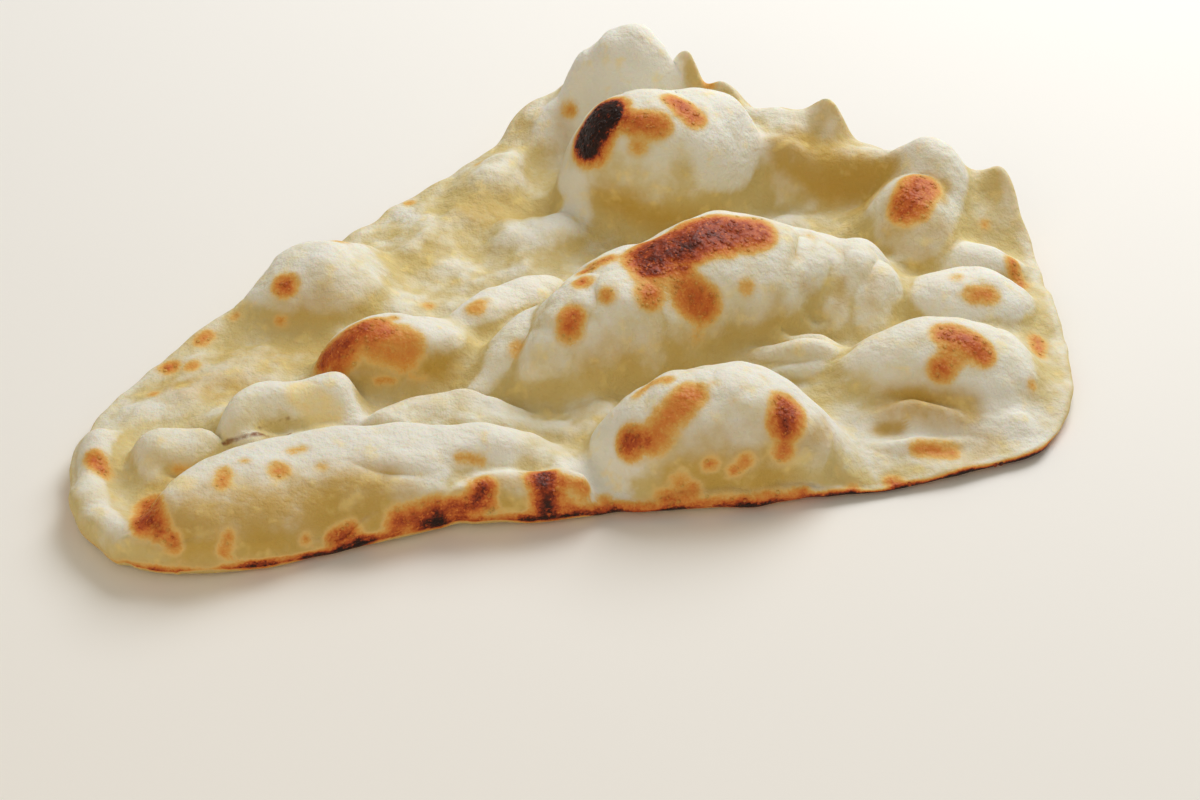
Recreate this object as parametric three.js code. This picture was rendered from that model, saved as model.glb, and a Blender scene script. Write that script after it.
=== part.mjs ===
// Naan: one hand-stretched flatbread lying flat, puffed up in the oven.
// Millimetres, +Z up. The origin is on the table, under the middle of the bread's box.
// The bread is one closed solid: a flat underside that lifts towards the far edge,
// a rounded rim, and a top skin raised by bubbles, folds and flaps.

import * as THREE from 'three';

// ---- driving dimensions -------------------------------------------------------------

const SHEET_THICKNESS = 4.2;      // dough between the bubbles, at its thinnest
const RIM_ROUNDING = 2;           // how far the rim bulges past the edge of the top skin
const EDGE_WAVE = 1.2;            // the edge waves in and out by about this much
const RIM_CURL = 1.3;             // the whole edge curls up this far off the table
const RIM_THINNING = 0.35;        // and the dough loses this share of its thickness there
const RIM_REACH = 15;             // both start this far in from the edge
const LIP_HEIGHT = 14;            // the far edge stood against the oven wall: it is raised
const LIP_LUMPS = 5;              // extra height of the lumps along that raised lip
const LIP_LUMP_SIZE = 26;
const LIP_WANDER = 6;             // how far the foot of the lip wanders in and out
const LIP_FOOT = 27;              // distance from the edge where the lip starts to rise
const LIP_TOP = 12;               // and where it has its full height
const LIP_FALL = 0.3;             // towards the right it loses this share of its height
const EAR_DEPTH = 9;              // how far in from the edge its small upright flaps reach
const THIN_EDGE_SHARE = 0.35;     // the near right edge loses this further share
const CREASE_FILLING = 2;         // rounds in which slack dough rounds off the creases
const SKIN_OVERHANG = 0.22;       // steep bubble walls swell out by this share of their height
const SKIN_OVERHANG_LIMIT = 4;
const TOP_CELLS = 60;             // grid cells across the top skin; the underside has half
const RELAX_ROUNDS = 1;           // how often the cells of the top skin are evened out

// The plan below is drawn about the middle of the dough ball; this moves the middle of
// the stretched outline's box onto the origin.
const PLAN_SHIFT = { x: -0.7, y: -7 };

// Outline of the stretched dough, counter-clockwise from the right end: a broad right end,
// a corner at the far right, the far hump, a straight pull to the left end and a near edge.
const OUTLINE = [
  [129, -14], [127, 26], [119, 52], [104, 66], [78, 73], [52, 86], [28, 99], [6, 111],
  [-16, 101], [-34, 80], [-68, 45], [-92, 12], [-113, -16], [-126, -44], [-126, -72],
  [-113, -93], [-91, -97], [-62, -90], [-36, -81], [0, -76], [45, -71], [85, -62],
  [112, -52], [124, -37],
];

// Bubbles, in this order: the middle, the half length and half width, the turn in degrees,
// the height of the puffed skin, how square the near and far shoulders are (0.5 is half an
// ellipsoid, 1 is a soft mound), how far the peak sits off the middle as a share of the half
// sizes, and the height of the lumps in the skin.
const bubble = (name, at, half, turn, height, near, far, peak, lumps) => (
  { name, at, half, turn, height, near, far, peak, lumps });
const BUBBLES = [
  bubble('near', [34.5, -53.5], [32, 20], 3, 24, 0.6, 0.7, [-0.05, -0.05], 0.8),
  bubble('great', [25, -2], [58, 22], 28, 30, 0.55, 0.75, [0.1, 0.05], 1),
  bubble('great_end', [73, 7], [19, 15], 60, 18, 0.7, 1, [0, 0], 3),
  bubble('far', [21.5, 65.5], [29.5, 20.5], 4, 33, 0.55, 0.9, [0, -0.1], 0.6),
  bubble('far_right', [92.5, 44], [23, 16], 80, 19, 0.6, 0.9, [0, 0], 0.5),
  bubble('right', [103, 7], [19, 12], -5, 12, 0.6, 0.9, [0, 0], 0.8),
  bubble('right_small', [107, 26], [14, 8], 5, 9, 0.8, 0.8, [0, 0], 0.6),
  bubble('near_right', [93, -22], [30, 18], 6, 17, 0.85, 0.9, [-0.15, -0.1], 0.6),
  bubble('left', [-47, -17], [24, 12], 16, 16.5, 0.5, 0.85, [-0.25, -0.3], 0.5),
  bubble('middle_ridge', [-22, 1], [22, 9], 35, 12, 0.7, 1, [0, -0.1], 0.8),
  bubble('left_edge', [-72, 17], [23, 19], 30, 14, 1, 1.1, [0, -0.1], 0.8),
  bubble('collapsed', [-64, -43], [11, 9], 10, 7, 0.6, 0.9, [0, -0.2], 0.3),
  bubble('far_hump', [14, 101], [21, 17], 20, 20, 0.9, 1, [0.1, 0], 2.4),
  bubble('back_small', [-13, 43], [16, 11], 10, 6, 1, 1.3, [0, 0], 0.6),
  bubble('back_left', [-42, 34], [16, 10], 25, 3.5, 1.3, 1.5, [0, 0], 0.4),
  bubble('back_mid', [-5, 66], [12, 8], 40, 4, 0.9, 1, [0, 0], 0.6),
  bubble('back_low', [66, 47], [18, 9], 10, 4, 1, 1, [0, 0], 1),
  bubble('wrinkled', [57, -19], [20, 8], 8, 9, 0.8, 1, [0, 0], 2.2),
  bubble('left_low', [-82, -18], [16, 10], 0, 2.5, 1.5, 1.5, [0, 0], 0.3),
  bubble('lip_puff_left', [56, 78], [13, 7], 150, 6, 0.8, 1, [0, 0], 0.8),
  bubble('lip_puff_right', [88, 62], [14, 7], 165, 3.5, 0.8, 1, [0, 0], 0.8),
  bubble('mid_sheet', [8, -42], [22, 9], 12, 4, 1, 1, [0, 0], 0.6),
  bubble('below_great_end', [76, -3], [9, 7], 0, 8, 0.9, 1, [0, 0], 1),
  bubble('back_mound', [-24, 62], [22, 14], 55, 3.5, 1, 1, [0, 0], 0.6),
  bubble('right_low', [82, 26], [13, 8], 60, 4, 1, 1, [0, 0], 1),
];
const FOOT_SOFTNESS = 0.03;       // keeps the foot of a bubble's wall from being quite upright
const SKIRT = 0.16;               // the sheet is pulled up to this share of a bubble's height
const SKIRT_REACH = 1.45;         // and out to this many times its size

// Folds: the height, how far the skin takes to come down on the near and the far side, how
// square the near side is, and the line of the crest from left to right.
const FOLDS = [
  { name: 'near_roll', height: 14, near: 34, far: 8, square: 0.62,
    crest: [[-104, -99], [-98, -88], [-92, -78], [-84, -70], [-70, -64], [-46, -61], [-22, -60], [6,
      -56]] },
  { name: 'left_roll', height: 7, near: 12, far: 7, square: 0.7,
    crest: [[-118, -44], [-122, -56], [-121, -72], [-115, -86], [-107, -95], [-96, -100], [-82,
      -99]] },
  { name: 'curled_rim', height: 8, near: 12, far: 4, square: 0.55,
    crest: [[-46, -86], [-34, -81], [-22, -75], [-10, -71], [-2, -72], [6, -75]] },
  { name: 'small_swell', height: 5, near: 13, far: 8, square: 1.2,
    crest: [[-112, -64], [-104, -59], [-96, -59], [-90, -63]] },
  { name: 'collapsed_swell', height: 6, near: 16, far: 9, square: 1.2,
    crest: [[-92, -60], [-83, -48], [-74, -42], [-64, -39], [-55, -40]] },
  { name: 'right_shelf', height: 2.5, near: 8, far: 8, square: 1,
    crest: [[68, -39], [86, -39], [104, -39], [118, -36]] },
];
const FOLD_FAR_SQUARE = 1.3;      // the far side of a fold runs out softly

// Thin flaps of skin that lie on the rest, with a crisp far edge and a gap behind it.
const FLAPS = [
  { name: 'small_flap', height: 5.5, near: 13, far: 1.8, square: 1,
    crest: [[-113, -60], [-104, -54], [-96, -53], [-89, -59]] },
  { name: 'collapsed_flap', height: 5, near: 12, far: 1.8, square: 1,
    crest: [[-93, -58], [-84, -44], [-75, -37], [-64, -34], [-54, -37]] },
  { name: 'tongue_flap', height: 4.5, near: 20, far: 1.8, square: 1,
    crest: [[-54, -52], [-51, -44], [-44, -38], [-30, -37], [-8, -41]] },
];
const UNDERCUT = { depth: 1.2, distance: 1, width: 1.2 };

// Strands and creases that ride on the shapes above: the height, which is negative for a
// crease, the half width and the line of the crest.
const strand = (name, height, half, crest) => ({ name, height, half, crest });
const STRANDS = [
  strand('tail_outer', 3.2, 6, [[-34, -41], [-26, -30], [-17, -13], [-8, 3]]),
  strand('tail_inner', 3, 6, [[-18, -41], [-5, -24], [4, -10]]),
  strand('tail_crease', -1.8, 3.4, [[-27, -41], [-15, -25], [-6, -8]]),
  strand('foot_strand_high', 2, 3, [[50, -7], [60, -6], [72, -9]]),
  strand('foot_strand', 2.8, 3.6, [[44, -11], [58, -13], [72, -17]]),
  strand('foot_strand_low', 2.4, 3.2, [[40, -16], [56, -20], [72, -22]]),
  strand('end_crease', -1.6, 4, [[56, 2], [64, -6], [72, -10]]),
  strand('end_pleat', -1.6, 3.2, [[57, 17], [55, 8], [53, -1]]),
  strand('end_drip_left', 1.4, 3.4, [[65, 14], [63, 7], [59, -1]]),
  strand('end_drip_middle', 1.4, 3.4, [[75, 15], [73, 8], [70, 1]]),
  strand('end_drip_right', 1.5, 3.2, [[82, 12], [80, 5], [77, -3]]),
  strand('collapsed_dent', -4, 6, [[-86, -55], [-76, -49], [-64, -46], [-54, -47]]),
  strand('collapsed_seam', -1.6, 2.2, [[-88, -57], [-80, -51], [-70, -48]]),
  strand('small_flap_crease', -3, 3, [[-106, -64], [-98, -66], [-90, -63]]),
  strand('rim_valley', -3.5, 6, [[-40, -76], [-26, -70], [-14, -67], [-3, -67]]),
  strand('great_foot', -1.2, 2.6, [[-8, -33], [10, -29], [28, -21], [46, -10], [60, -6]]),
  strand('far_foot', -1.2, 2.6, [[6, 49], [22, 45], [40, 49]]),
  strand('left_foot', -1.8, 2.4, [[-66, -26], [-52, -28], [-38, -25]]),
  strand('near_right_foot', -1.6, 3, [[75, -33], [87, -38], [100, -39]]),
  strand('roll_fold', -1.2, 3, [[-62, -72], [-46, -75], [-34, -74]]),
  strand('right_ridge', 1.8, 3, [[74, -41], [88, -42], [102, -44]]),
  strand('right_ridge_low', 1.5, 3, [[70, -51], [86, -51], [104, -46]]),
  strand('dimple', -1.6, 3.4, [[74, -45], [79, -45], [84, -45]]),
  strand('far_foot_crease', -1, 2.5, [[-2, 56], [8, 48], [20, 44]]),
];

// Where the raised far edge stands up in a small flap.
const LIP_EARS = [
  { name: 'on_hump', at: [12, 109], reach: 6, height: 5 },
  { name: 'behind_hump', at: [31, 98], reach: 4, height: 18 },
  { name: 'behind_far_bubble', at: [41, 92], reach: 8, height: 9 },
  { name: 'far_middle', at: [70, 77], reach: 6, height: 11 },
  { name: 'far_middle_low', at: [60, 81], reach: 7, height: 6 },
  { name: 'far_corner', at: [116, 54], reach: 7, height: 7 },
];

const BLEND = 4;                  // how crisply one bubble or fold meets the next
const SKIN_DRIFT = { far: 2.2, size: 26 };    // the shapes wander from true ellipses
const SMALL_DRIFT = { far: 0.7, size: 9 };

// ---- small functions ----------------------------------------------------------------

const clamp = (value, low, high) => Math.min(high, Math.max(low, value));

function smoothstep(from, to, value) {
  const t = clamp((value - from) / (to - from), 0, 1);
  return t * t * (3 - 2 * t);
}

// A repeatable random number from 0 to 1 for each corner of a square grid.
function cornerHash(column, row, seed) {
  const wave = Math.sin(column * 127.1 + row * 311.7 + seed * 74.7) * 43758.5453;
  return wave - Math.floor(wave);
}

// Gradient noise, about -1 to 1, with lumps `size` millimetres across.
function noise(x, y, size, seed) {
  const column = Math.floor(x / size);
  const row = Math.floor(y / size);
  const u = x / size - column;
  const v = y / size - row;
  const slope = (stepX, stepY) => {
    const angle = cornerHash(column + stepX, row + stepY, seed) * 2 * Math.PI;
    return Math.cos(angle) * (u - stepX) + Math.sin(angle) * (v - stepY);
  };
  const fade = (t) => t * t * t * (t * (t * 6 - 15) + 10);
  const low = slope(0, 0) * (1 - fade(u)) + slope(1, 0) * fade(u);
  const high = slope(0, 1) * (1 - fade(u)) + slope(1, 1) * fade(u);
  return (low * (1 - fade(v)) + high * fade(v)) * 1.5;
}

// ---- outline ------------------------------------------------------------------------

const outlineCurve = new THREE.CatmullRomCurve3(
  OUTLINE.map(([x, y]) => new THREE.Vector3(x, y, 0)), true, 'catmullrom', 0.5);

// Distance from the middle to the edge in steps of half a degree, then by interpolation.
const EDGE_STEPS = 720;
const edgeTable = (() => {
  const samples = outlineCurve.getPoints(EDGE_STEPS * 4)
    .map((point) => ({ angle: Math.atan2(point.y, point.x), radius: Math.hypot(point.x, point.y) }));
  samples.sort((a, b) => a.angle - b.angle);
  const table = [];
  let next = 0;
  for (let step = 0; step <= EDGE_STEPS; step += 1) {
    const angle = -Math.PI + (2 * Math.PI * step) / EDGE_STEPS;
    while (next < samples.length - 1 && samples[next].angle < angle) next += 1;
    table.push(samples[next].radius);
  }
  return table;
})();

function edgeRadius(angle) {
  const place = ((angle + Math.PI) / (2 * Math.PI)) * EDGE_STEPS;
  const step = clamp(Math.floor(place), 0, EDGE_STEPS - 1);
  const share = place - step;
  const radius = edgeTable[step] * (1 - share) + edgeTable[step + 1] * share;
  const x = radius * Math.cos(angle);
  const y = radius * Math.sin(angle);
  return radius + EDGE_WAVE * (noise(x, y, 19, 11) + 0.5 * noise(x, y, 8, 12));
}

const distanceToEdge = (x, y) => edgeRadius(Math.atan2(y, x)) - Math.hypot(x, y);

// ---- the skin -----------------------------------------------------------------------

// Height of one bubble: a dome over an ellipse whose peak may sit off the middle, and the
// sheet around it that it pulls up.
function bubbleHeight(bubble, x, y) {
  const turn = THREE.MathUtils.degToRad(bubble.turn);
  const dx = x - bubble.at[0];
  const dy = y - bubble.at[1];
  const along = (dx * Math.cos(turn) + dy * Math.sin(turn)) / bubble.half[0];
  const across = (-dx * Math.sin(turn) + dy * Math.cos(turn)) / bubble.half[1];
  const [peakAlong, peakAcross] = bubble.peak;
  const fromPeak = [along - peakAlong, across - peakAcross];
  const squared = Math.max(fromPeak[0] ** 2 + fromPeak[1] ** 2, 1e-12);
  const lead = fromPeak[0] * peakAlong + fromPeak[1] * peakAcross;
  const room = lead ** 2 + squared * (1 - peakAlong ** 2 - peakAcross ** 2);
  const reach = squared / (Math.sqrt(Math.max(room, 0)) - lead);
  const skirt = SKIRT * bubble.height * Math.max(1 - (reach / SKIRT_REACH) ** 2, 0) ** 2;
  const cover = Math.max(1 - reach * reach, 0);
  if (cover === 0) return skirt;
  const power = bubble.near + (bubble.far - bubble.near) * smoothstep(-0.5, 0.8, across);
  const soft = FOOT_SOFTNESS;
  const rise = ((cover + soft) ** power - soft ** power) / ((1 + soft) ** power - soft ** power);
  const small = noise(x, y, 13, 21) + 0.5 * noise(x, y, 6, 22);
  const lumpy = small + 0.06 * bubble.height * noise(x, y, 21, 23);
  return Math.max(bubble.height * rise + bubble.lumps * lumpy * smoothstep(0, 0.5, cover), skirt);
}

// A crest line as short straight steps.
const CREST_STEPS = 24;
const crestLine = (points) => new THREE.CatmullRomCurve3(
  points.map(([x, y]) => new THREE.Vector3(x, y, 0)), false, 'catmullrom', 0.5).getPoints(CREST_STEPS);
for (const shape of [...FOLDS, ...FLAPS, ...STRANDS]) shape.line = crestLine(shape.crest);

// Where a point lies beside a crest line: the distance, how far along, and on which side.
function besideCrest(line, x, y) {
  let distance = Infinity;
  let along = 0;
  let nearSide = false;
  for (let step = 0; step < CREST_STEPS; step += 1) {
    const start = line[step];
    const dx = line[step + 1].x - start.x;
    const dy = line[step + 1].y - start.y;
    const t = clamp(((x - start.x) * dx + (y - start.y) * dy) / (dx * dx + dy * dy), 0, 1);
    const gap = Math.hypot(x - start.x - t * dx, y - start.y - t * dy);
    if (gap < distance) {
      distance = gap;
      along = (step + t) / CREST_STEPS;
      nearSide = dx * (y - start.y) - dy * (x - start.x) < 0;
    }
  }
  return { distance, along, nearSide };
}

// Folds and strands narrow and sink towards their two ends.
const narrowing = (along) => 0.4 + 0.6 * Math.sqrt(Math.max(1 - (2 * along - 1) ** 6, 0));
const sinking = (along, share) => smoothstep(0, share, along) * smoothstep(1, 1 - share, along);

// A fold that would reach past the dough's edge rolls down to it instead.
function foldHeight(fold, x, y) {
  const { distance, along, nearSide } = besideCrest(fold.line, x, y);
  const toEdge = distance + Math.max(distanceToEdge(x, y), 0.1);
  const side = nearSide ? Math.min(fold.near * narrowing(along), toEdge) : fold.far * narrowing(along);
  const reach = distance / side;
  const square = nearSide ? fold.square : FOLD_FAR_SQUARE;
  return fold.height * sinking(along, 0.16) * Math.max(1 - reach * reach, 0) ** square;
}

// The gap behind a flap's far edge, 1 where it is deepest.
function gapBehind(flap, x, y) {
  const { distance, along, nearSide } = besideCrest(flap.line, x, y);
  if (nearSide) return 0;
  const offset = (distance - flap.far - UNDERCUT.distance) / UNDERCUT.width;
  return Math.exp(-offset * offset) * sinking(along, 0.2);
}

function strandHeight(strand, x, y) {
  const { distance, along } = besideCrest(strand.line, x, y);
  const reach = distance / (strand.half * narrowing(along));
  return strand.height * sinking(along, 0.35) * Math.max(1 - reach * reach, 0) ** 2;
}

// How far the whole sheet, underside included, is off the table.
function sheetLift(x, y) {
  const inward = distanceToEdge(x, y);
  const wandering = inward + LIP_WANDER * noise(x, y, LIP_LUMP_SIZE, 33);
  const farSide = smoothstep(LIP_FOOT, LIP_TOP, wandering) * smoothstep(26, 58, y) * smoothstep(-42, 0, x);
  const lumps = noise(x, y, LIP_LUMP_SIZE, 31) + 0.4 * noise(x, y, 0.4 * LIP_LUMP_SIZE, 32);
  let lip = (LIP_HEIGHT + LIP_LUMPS * lumps) * farSide * (1 - LIP_FALL * smoothstep(70, 105, x));
  for (const ear of LIP_EARS) {
    const away = Math.hypot(x - ear.at[0], y - ear.at[1]) / ear.reach;
    lip += ear.height * Math.exp(-away * away) * smoothstep(EAR_DEPTH, 1, inward);
  }
  return lip + RIM_CURL * (1 + 0.6 * noise(x, y, 30, 13)) * smoothstep(RIM_REACH, 0, inward);
}

// How far bubbles and folds puff the top skin up: the highest wins, with soft meetings.
function puffHeight(x, y) {
  const drift = (seed) => (
    SKIN_DRIFT.far * noise(x, y, SKIN_DRIFT.size, seed)
    + SMALL_DRIFT.far * noise(x, y, SMALL_DRIFT.size, seed + 2));
  const driftedX = x + drift(3);
  const driftedY = y + drift(4);
  const awayFromRim = smoothstep(-1, 6, distanceToEdge(x, y));
  let sum = 0;
  for (const bubble of BUBBLES) {
    sum += (bubbleHeight(bubble, driftedX, driftedY) * awayFromRim) ** BLEND;
  }
  for (const fold of FOLDS) sum += foldHeight(fold, driftedX, driftedY) ** BLEND;
  return sum ** (1 / BLEND);
}

// Flaps, strands and creases, which stay sharper than the bubbles.
function crispHeight(x, y) {
  let sum = 0;
  for (const flap of FLAPS) sum += foldHeight(flap, x, y) - UNDERCUT.depth * gapBehind(flap, x, y);
  for (const strand of STRANDS) sum += strandHeight(strand, x, y);
  return sum * smoothstep(1, 5, distanceToEdge(x, y));
}

// Thickness of the dough itself: lumpy where it is slack, even where a bubble stretches it.
function doughThickness(x, y, puffed) {
  const slack = 1 - 0.6 * smoothstep(3, 11, puffed);
  const small = 2 * noise(x, y, 13, 6) + 0.5 * noise(x, y, 6, 8);
  const lumps = 1.5 + 2.8 * noise(x, y, 27, 5) + small;
  const inward = distanceToEdge(x, y);
  const nearRight = smoothstep(-10, 30, x) * smoothstep(22, 4, inward) * smoothstep(-20, -45, y);
  const thinned = RIM_THINNING * smoothstep(RIM_REACH, 0, inward) + THIN_EDGE_SHARE * nearRight;
  return (SHEET_THICKNESS + slack * lumps) * (1 - thinned);
}

// ---- the solid ----------------------------------------------------------------------

// A square grid laid evenly over the outline: the place of one grid corner in the plan.
function planPoint(column, row, cells) {
  const across = -1 + (2 * column) / cells;
  const along = -1 + (2 * row) / cells;
  const wide = Math.abs(across) > Math.abs(along);
  const radius = wide ? across : along;
  if (radius === 0) return [0, 0];
  const quarter = Math.PI / 4;
  const angle = wide ? quarter * (along / across) : 2 * quarter - quarter * (across / along);
  const x = radius * Math.cos(angle);
  const y = radius * Math.sin(angle);
  const reach = edgeRadius(Math.atan2(y, x)) - RIM_ROUNDING;
  return [x * reach, y * reach];
}

// A table with one entry for each grid corner.
function gridOf(cells, entry) {
  const grid = [];
  for (let column = 0; column <= cells; column += 1) {
    grid.push([]);
    for (let row = 0; row <= cells; row += 1) grid[column].push(entry(column, row));
  }
  return grid;
}

// Calls `visit` for each grid corner that is not on the border, with its four neighbours.
function eachInner(grid, visit) {
  for (let column = 1; column < grid.length - 1; column += 1) {
    for (let row = 1; row < grid.length - 1; row += 1) {
      const [left, right] = [grid[column - 1][row], grid[column + 1][row]];
      visit(column, row, [left, right, grid[column][row - 1], grid[column][row + 1]]);
    }
  }
}

const middleOf = (values) => values.reduce((sum, value) => sum + value, 0) / values.length;

// Lifts what lies below the middle of its four neighbours, which rounds off the creases.
function fillCreases(heights) {
  const before = heights.map((line) => line.slice());
  eachInner(before, (column, row, neighbours) => {
    const lacking = middleOf(neighbours) - before[column][row];
    heights[column][row] += Math.max(lacking, 0) / 2;
  });
}

// Moves each inner point half-way to the middle of its four neighbours, which evens out the
// cells on steep walls.
function relax(points) {
  const before = points.map((line) => line.slice());
  eachInner(before, (column, row, neighbours) => {
    points[column][row] = before[column][row].map((value, axis) => (
      (value + middleOf(neighbours.map((point) => point[axis]))) / 2));
  });
}

// How fast the height rises along x and along y at a grid corner.
function slopeAt(plan, heights, column, row) {
  const last = heights.length - 1;
  const [west, east] = [Math.max(column - 1, 0), Math.min(column + 1, last)];
  const [south, north] = [Math.max(row - 1, 0), Math.min(row + 1, last)];
  const step = (from, to) => [to[0] - from[0], to[1] - from[1]];
  const u = step(plan[west][row], plan[east][row]);
  const v = step(plan[column][south], plan[column][north]);
  const riseU = heights[east][row] - heights[west][row];
  const riseV = heights[column][north] - heights[column][south];
  const area = u[0] * v[1] - v[0] * u[1];
  if (Math.abs(area) < 1e-9) return [0, 0];
  return [(riseU * v[1] - riseV * u[1]) / area, (u[0] * riseV - v[0] * riseU) / area];
}

// The top skin: steep walls swell outwards, so a bubble overhangs its foot.
function topSkin() {
  const plan = gridOf(TOP_CELLS, (column, row) => planPoint(column, row, TOP_CELLS));
  const puffed = plan.map((line) => line.map(([x, y]) => puffHeight(x, y)));
  const heights = plan.map((line, column) => line.map(([x, y], row) => (
    sheetLift(x, y) + puffed[column][row] + doughThickness(x, y, puffed[column][row]))));
  for (let round = 0; round < CREASE_FILLING; round += 1) fillCreases(heights);
  const risen = plan.map((line, column) => line.map(([x, y], row) => (
    heights[column][row] + crispHeight(x, y))));
  const points = plan.map((line, column) => line.map(([x, y], row) => {
    const [slopeX, slopeY] = slopeAt(plan, risen, column, row);
    const slope = Math.max(Math.hypot(slopeX, slopeY), 1e-9);
    const share = (SKIN_OVERHANG * puffed[column][row] * slope) / (1 + slope);
    const swell = Math.min(share, SKIN_OVERHANG_LIMIT) / slope;
    return [x - swell * slopeX, y - swell * slopeY, risen[column][row]];
  }));
  for (let round = 0; round < RELAX_ROUNDS; round += 1) relax(points);
  return points;
}

function underside() {
  return gridOf(TOP_CELLS / 2, (column, row) => {
    const [x, y] = planPoint(column, row, TOP_CELLS / 2);
    return [x, y, sheetLift(x, y)];
  });
}

// The entries of a grid along its border, counter-clockwise.
function borderOf(grid) {
  const cells = grid.length - 1;
  const border = [];
  for (let step = 0; step < cells; step += 1) border.push(grid[step][0]);
  for (let step = 0; step < cells; step += 1) border.push(grid[cells][step]);
  for (let step = 0; step < cells; step += 1) border.push(grid[cells - step][cells]);
  for (let step = 0; step < cells; step += 1) border.push(grid[0][cells - step]);
  return border;
}

function naanGeometry() {
  const positions = [];
  const triangles = [];
  const addPoint = (point) => positions.push(point[0], point[1], point[2]) / 3 - 1;

  // Adds a grid of points and its triangles, which face towards +Z or -Z.
  const addGrid = (points, faceUp) => {
    const grid = points.map((line) => line.map(addPoint));
    for (let column = 0; column < grid.length - 1; column += 1) {
      for (let row = 0; row < grid.length - 1; row += 1) {
        const [a, b] = [grid[column][row], grid[column + 1][row]];
        const [c, d] = [grid[column + 1][row + 1], grid[column][row + 1]];
        if (faceUp) triangles.push(a, b, c, a, c, d);
        else triangles.push(a, c, b, a, d, c);
      }
    }
    return borderOf(grid);
  };

  const topPoints = topSkin();
  const topRing = addGrid(topPoints, true);
  const bottomRing = addGrid(underside(), false);

  // The rim: one ring of points bulging out half-way between the top skin and the underside.
  const rimRing = borderOf(topPoints).map(([x, y, z]) => {
    const grow = 1 + RIM_ROUNDING / Math.hypot(x, y);
    return addPoint([x * grow, y * grow, (z + sheetLift(x, y)) / 2]);
  });
  const count = rimRing.length;
  for (let index = 0; index < count; index += 1) {
    const after = (index + 1) % count;
    triangles.push(topRing[index], rimRing[index], rimRing[after]);
    triangles.push(topRing[index], rimRing[after], topRing[after]);
  }
  for (let index = 0; index < bottomRing.length; index += 1) {
    const after = (index + 1) % bottomRing.length;
    const [left, middle, right] = [2 * index, 2 * index + 1, (2 * index + 2) % count];
    triangles.push(rimRing[left], bottomRing[index], rimRing[middle]);
    triangles.push(rimRing[middle], bottomRing[index], bottomRing[after]);
    triangles.push(rimRing[middle], bottomRing[after], rimRing[right]);
  }

  const geometry = new THREE.BufferGeometry();
  geometry.setAttribute('position', new THREE.Float32BufferAttribute(positions, 3));
  geometry.setIndex(triangles);
  geometry.translate(PLAN_SHIFT.x, PLAN_SHIFT.y, 0);
  geometry.computeVertexNormals();
  return geometry;
}

// Baked dough: matt cream with a faint sheen.
const bakedDough = new THREE.MeshStandardMaterial({ color: 0xd7cdb1, roughness: 0.65, metalness: 0 });

const naan = new THREE.Mesh(naanGeometry(), bakedDough);
naan.name = 'naan';

const bread = new THREE.Group();
bread.add(naan);
export default bread;
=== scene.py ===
# %% [markdown]
# # A naan from the tandoor
# A naan is one piece of soft wheat dough. It is slapped against the hot wall of a clay oven,
# where it puffs into bubbles within a minute. The skin of each bubble is thin and dries out
# first, so the bubbles carry the scorches, while the dough between them stays pale.
# This file makes that one piece: a fine skin over the plain solid that holds its size.

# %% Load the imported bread
import math

import bpy
import numpy as np
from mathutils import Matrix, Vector


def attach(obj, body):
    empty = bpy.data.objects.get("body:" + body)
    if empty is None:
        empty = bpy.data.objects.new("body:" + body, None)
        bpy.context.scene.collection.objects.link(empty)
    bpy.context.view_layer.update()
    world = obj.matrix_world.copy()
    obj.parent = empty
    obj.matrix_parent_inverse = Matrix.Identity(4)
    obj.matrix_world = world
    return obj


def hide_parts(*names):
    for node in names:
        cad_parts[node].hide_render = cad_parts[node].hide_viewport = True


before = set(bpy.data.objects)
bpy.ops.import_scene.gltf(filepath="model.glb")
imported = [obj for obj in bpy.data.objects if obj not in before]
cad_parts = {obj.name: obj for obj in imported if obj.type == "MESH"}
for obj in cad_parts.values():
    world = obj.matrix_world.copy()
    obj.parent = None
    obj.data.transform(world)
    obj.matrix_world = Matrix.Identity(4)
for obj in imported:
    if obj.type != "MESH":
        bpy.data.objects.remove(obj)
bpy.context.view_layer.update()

# %% [markdown]
# ## Sizes
# The dough is planned on paper, in millimetres, about the middle of the dough ball. The
# same numbers shape the solid, so the fine skin lies where the solid's skin is.

# %% Sizes of the dough
MM = 0.001
SHEET_THICKNESS = 4.2      # dough between the bubbles, at its thinnest
RIM_ROUNDING = 2.0         # how far the rim bulges past the edge of the top skin
EDGE_WAVE = 1.2            # the edge waves in and out by about this much
RIM_CURL = 1.3             # the whole edge curls up this far off the table
RIM_THINNING = 0.35        # and the dough loses this share of its thickness there
RIM_REACH = 15.0           # both start this far in from the edge
LIP_HEIGHT = 14.0          # the far edge stood against the oven wall: it is raised
LIP_LUMPS = 5.0            # extra height of the lumps along that raised lip
LIP_LUMP_SIZE = 26.0
LIP_WANDER = 6.0           # how far the foot of the lip wanders in and out
LIP_FOOT, LIP_TOP = 27.0, 12.0   # it rises between these distances from the edge
LIP_X, LIP_Y = (-42, 0), (26, 58)      # it sets in over these stretches of the plan
LIP_FALL = 0.3             # towards the right it loses this share of its height
LIP_FALL_X = (70, 105)
EAR_DEPTH = 9.0            # how far in from the edge its small upright flaps reach
THIN_EDGE_SHARE = 0.35     # the near right edge loses this further share
THIN_EDGE_X, THIN_EDGE_Y = (-10, 30), (-20, -45)
THIN_EDGE_REACH = (22, 4)
CREASE_FILLING = 45        # rounds in which slack dough rounds off the creases between bubbles
SKIN_OVERHANG = 0.22       # steep bubble walls swell out by this share of their height
SKIN_OVERHANG_LIMIT = 4.0
PLAN_SHIFT = np.array([-0.7, -7.0])   # puts the middle of the outline's box on the origin
print("sheet", SHEET_THICKNESS, "mm thick, raised edge", LIP_HEIGHT, "mm high")

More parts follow.
